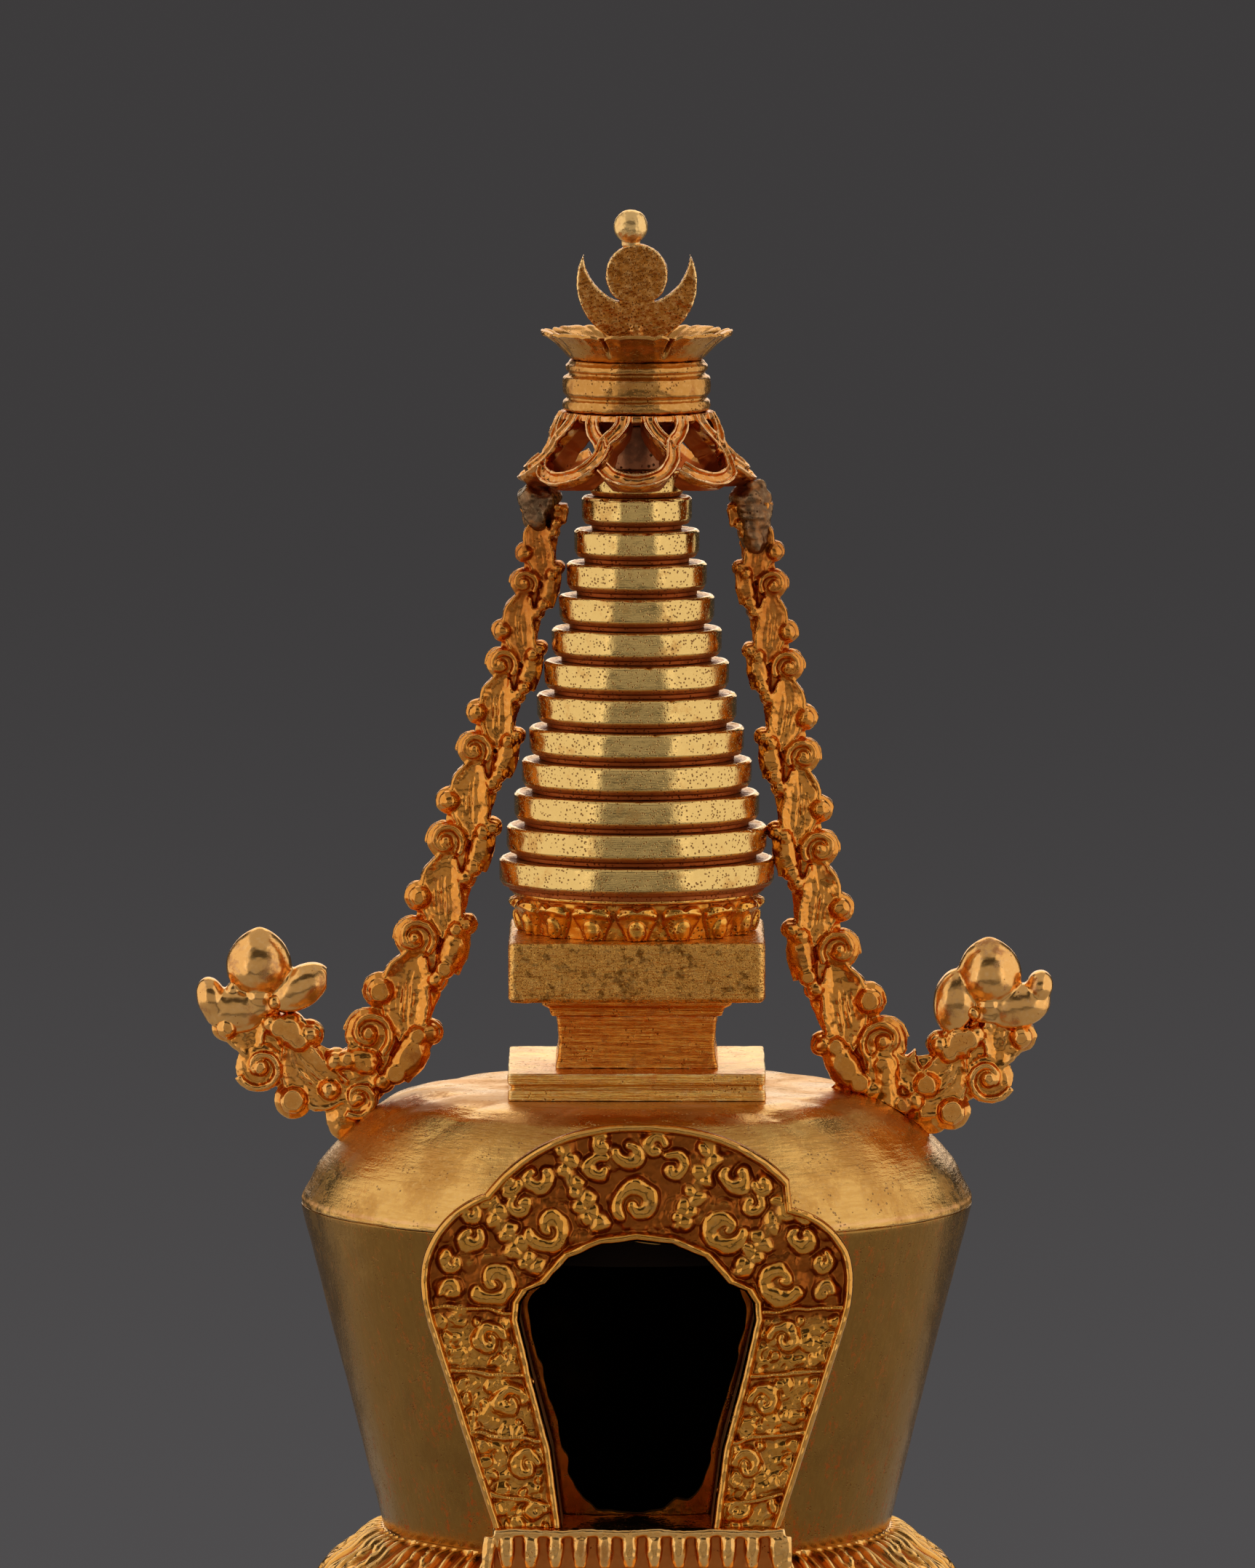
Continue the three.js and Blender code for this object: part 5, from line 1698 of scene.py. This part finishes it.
def draped_lotus(finish):
    """Round lotus under the chamber: long petals draped outwards, each with nested ribs."""
    z0, columns = STEPS_TOP, 1152
    grid = turned([
        [21.4, z0 + 0.01], [26.0, z0 + 0.01], [26.2, z0 + 0.8], [25.6, z0 + 2.2],
        [23.4, z0 + 5.4], [20.9, FLOOR_Z - 0.6], [19.9, FLOOR_Z], [0.3, FLOOR_Z],
        [0.3, FLOOR_Z - 1.6], [16, FLOOR_Z - 1.6], [19.6, z0 + 4],
    ], ease=0.3, step=0.16, columns=columns)
    radius = axis_distance(grid)
    angle = column_angles(columns)
    place = (angle / (TAU / LOTUS_PETALS)) % 1 - 0.5
    root_z = FLOOR_Z - 0.4
    up = (root_z - grid[..., 2]) / (root_z - z0 - 0.3)
    shell = smoothstep(radius, 19.25, 19.8)
    edge = np.broadcast_to(np.abs(place) * 2, up.shape)
    ring = np.hypot(edge * 0.98, np.clip(up, 0, 1))
    arcs = np.cos(ring * TAU * 3.0)
    beads = 0.5 + 0.5 * np.cos(np.arctan2(up, place * 2) * 18)
    ribs = 0.42 * smoothstep(arcs, -0.6, 0.9) * (0.8 + 0.2 * beads)
    between = smoothstep(1 - edge, 0.0, 0.1)
    push = shell * (ribs * between - 0.55 * (1 - between) - 0.22)
    grid = widened(grid, (radius + push) / radius)
    # the ribs also show in the level top, where pushing outwards can't raise them
    sunk = shell * smoothstep(0.35 - up, 0.0, 0.3) * (0.23 - push)
    grid[..., 2] = np.clip(np.clip(grid[..., 2], z0, FLOOR_Z) - np.clip(sunk, 0, 1), z0, FLOOR_Z)
    mesh = ring_mesh("draped_lotus", grid)
    # The chamber floor inside the drum is painted black as shade
    piece("dome_lotus_petals", mesh, finish, "base", "dome_lotus",
          passes=18, depth=0.14, painted_shade=lambda p: 1 - smoothstep(axis_distance(p), 18.4, 19))


# ------------------------------------------------------------------ stage, lights and camera
def studio_floor():
    """Round pale floor with an eased edge, its top just under the foot."""
    radius, low_z = 300, -3
    ring = revolve(rounded([
        [0.5, -0.02], [radius - 1, -0.02], [radius, -0.5], [radius - 1, low_z], [0.5, low_z],
    ], 1), 96)
    mesh = ring_mesh("studio_floor", ring * MM)
    mesh.materials.append(floor_paint())
    disc = bpy.data.objects.new("studio_floor", mesh)
    bpy.context.scene.collection.objects.link(disc)


def softbox(name, place, target, width, height, radiance):
    """Rectangular soft light, sized in metres, that the camera doesn't see."""
    light = bpy.data.lights.new(name, "AREA")
    light.shape = "RECTANGLE"
    light.size = width
    light.size_y = height
    light.energy = radiance * math.pi * width * height
    holder = bpy.data.objects.new(name, light)
    holder.location = place
    aim = Vector(target) - Vector(place)
    holder.rotation_euler = aim.to_track_quat("-Z", "Y").to_euler()
    holder.visible_camera = False
    bpy.context.scene.collection.objects.link(holder)


def room():
    """Dark grey surroundings, a little lighter towards the floor."""
    world = bpy.data.worlds.new("room")
    world.use_nodes = True
    tree = world.node_tree
    way = tree.nodes.new("ShaderNodeTexCoord")
    split = tree.nodes.new("ShaderNodeSeparateXYZ")
    tree.links.new(way.outputs["Generated"], split.inputs[0])
    fade = tree.nodes.new("ShaderNodeMapRange")
    fade.interpolation_type = "SMOOTHSTEP"
    fade.inputs["From Min"].default_value = -0.15
    fade.inputs["From Max"].default_value = -0.07
    tree.links.new(split.outputs["Z"], fade.inputs["Value"])
    shades = tree.nodes.new("ShaderNodeMix")
    shades.data_type = "RGBA"
    shades.inputs[6].default_value = (0.078, 0.0745, 0.0765, 1)
    shades.inputs[7].default_value = (0.047, 0.0445, 0.0455, 1)
    tree.links.new(fade.outputs["Result"], shades.inputs[0])
    tree.links.new(shades.outputs[2], tree.nodes["Background"].inputs["Color"])
    return world


def studio():
    """A tall soft light at each side, and softer ones overhead, behind and in front."""
    scene = bpy.context.scene
    scene.world = room()
    for side in (-1, 1):
        softbox(f"side_light_{side + 2}", (side * 0.45, -0.08, 0.4),
                (0, -0.08, 0.4), 1.05, 1.0, 0.95)
    softbox("overhead_light", (0, 0.12, 0.75), (0, 0.12, 0), 0.8, 1.3, 0.48)
    softbox("back_light", (0, 0.9, 0.55), (0, 0, 0.35), 0.7, 0.84, 1.4)
    softbox("front_light", (0, -1.6, 0.35), (0, 0, 0.35), 3.2, 1.1, 0.38)
    scene.view_settings.view_transform = "Standard"


def portrait_camera():
    """Straight from the front, a little above the parasol, with a long lens."""
    aim = Vector((-0.7, 0, 116.4)) * MM
    rise = math.radians(5.3)
    distance = 1.21
    lens = bpy.data.cameras.new("portrait")
    lens.lens = 367
    lens.sensor_width = 36
    lens.dof.use_dof = False
    holder = bpy.data.objects.new("portrait", lens)
    holder.location = aim + Vector((0, -math.cos(rise), math.sin(rise))) * distance
    holder.rotation_euler = (aim - holder.location).to_track_quat("-Z", "Y").to_euler()
    bpy.context.scene.collection.objects.link(holder)
    bpy.context.scene.camera = holder


wax_metal = wax_gilt()
flower_metal = flower_gilt()
crown_metal = crown_gilt()
spire_discs(ring_gilt())
harmika(plinth_gilt(), filed_gilt(), block_gilt())
spire_collar(warm_gilt())
shoulder(shoulder_gilt())
drum(drum_gilt())
arch_frame(arch_gilt())
porch(porch_copper())
sill(sill_gilt())
parasol_skirt(skirt_gilt())
parasol_band(crown_metal)
crown(crown_metal)
sun_and_moon(sun_gilt())
jewel(jewel_gilt())
ribbon("left", LEFT_STEM, LEFT_ARM, LEFT_FEET, wax_metal)
ribbon("right", RIGHT_STEM, RIGHT_ARM, RIGHT_FEET, wax_metal)
flower("left", LEFT_PETALS, LEFT_BUD, flower_metal)
flower("right", RIGHT_PETALS, RIGHT_BUD, flower_metal)
solder_lumps(solder_grey())
# The neck's dark copper is painted shade inside the parasol
neck(shaded_copper())
hidden_metal(shaded_copper("rod_copper", False))
base_tiers(base_gilt())
draped_lotus(lotus_gilt())
studio_floor()
studio()
portrait_camera()
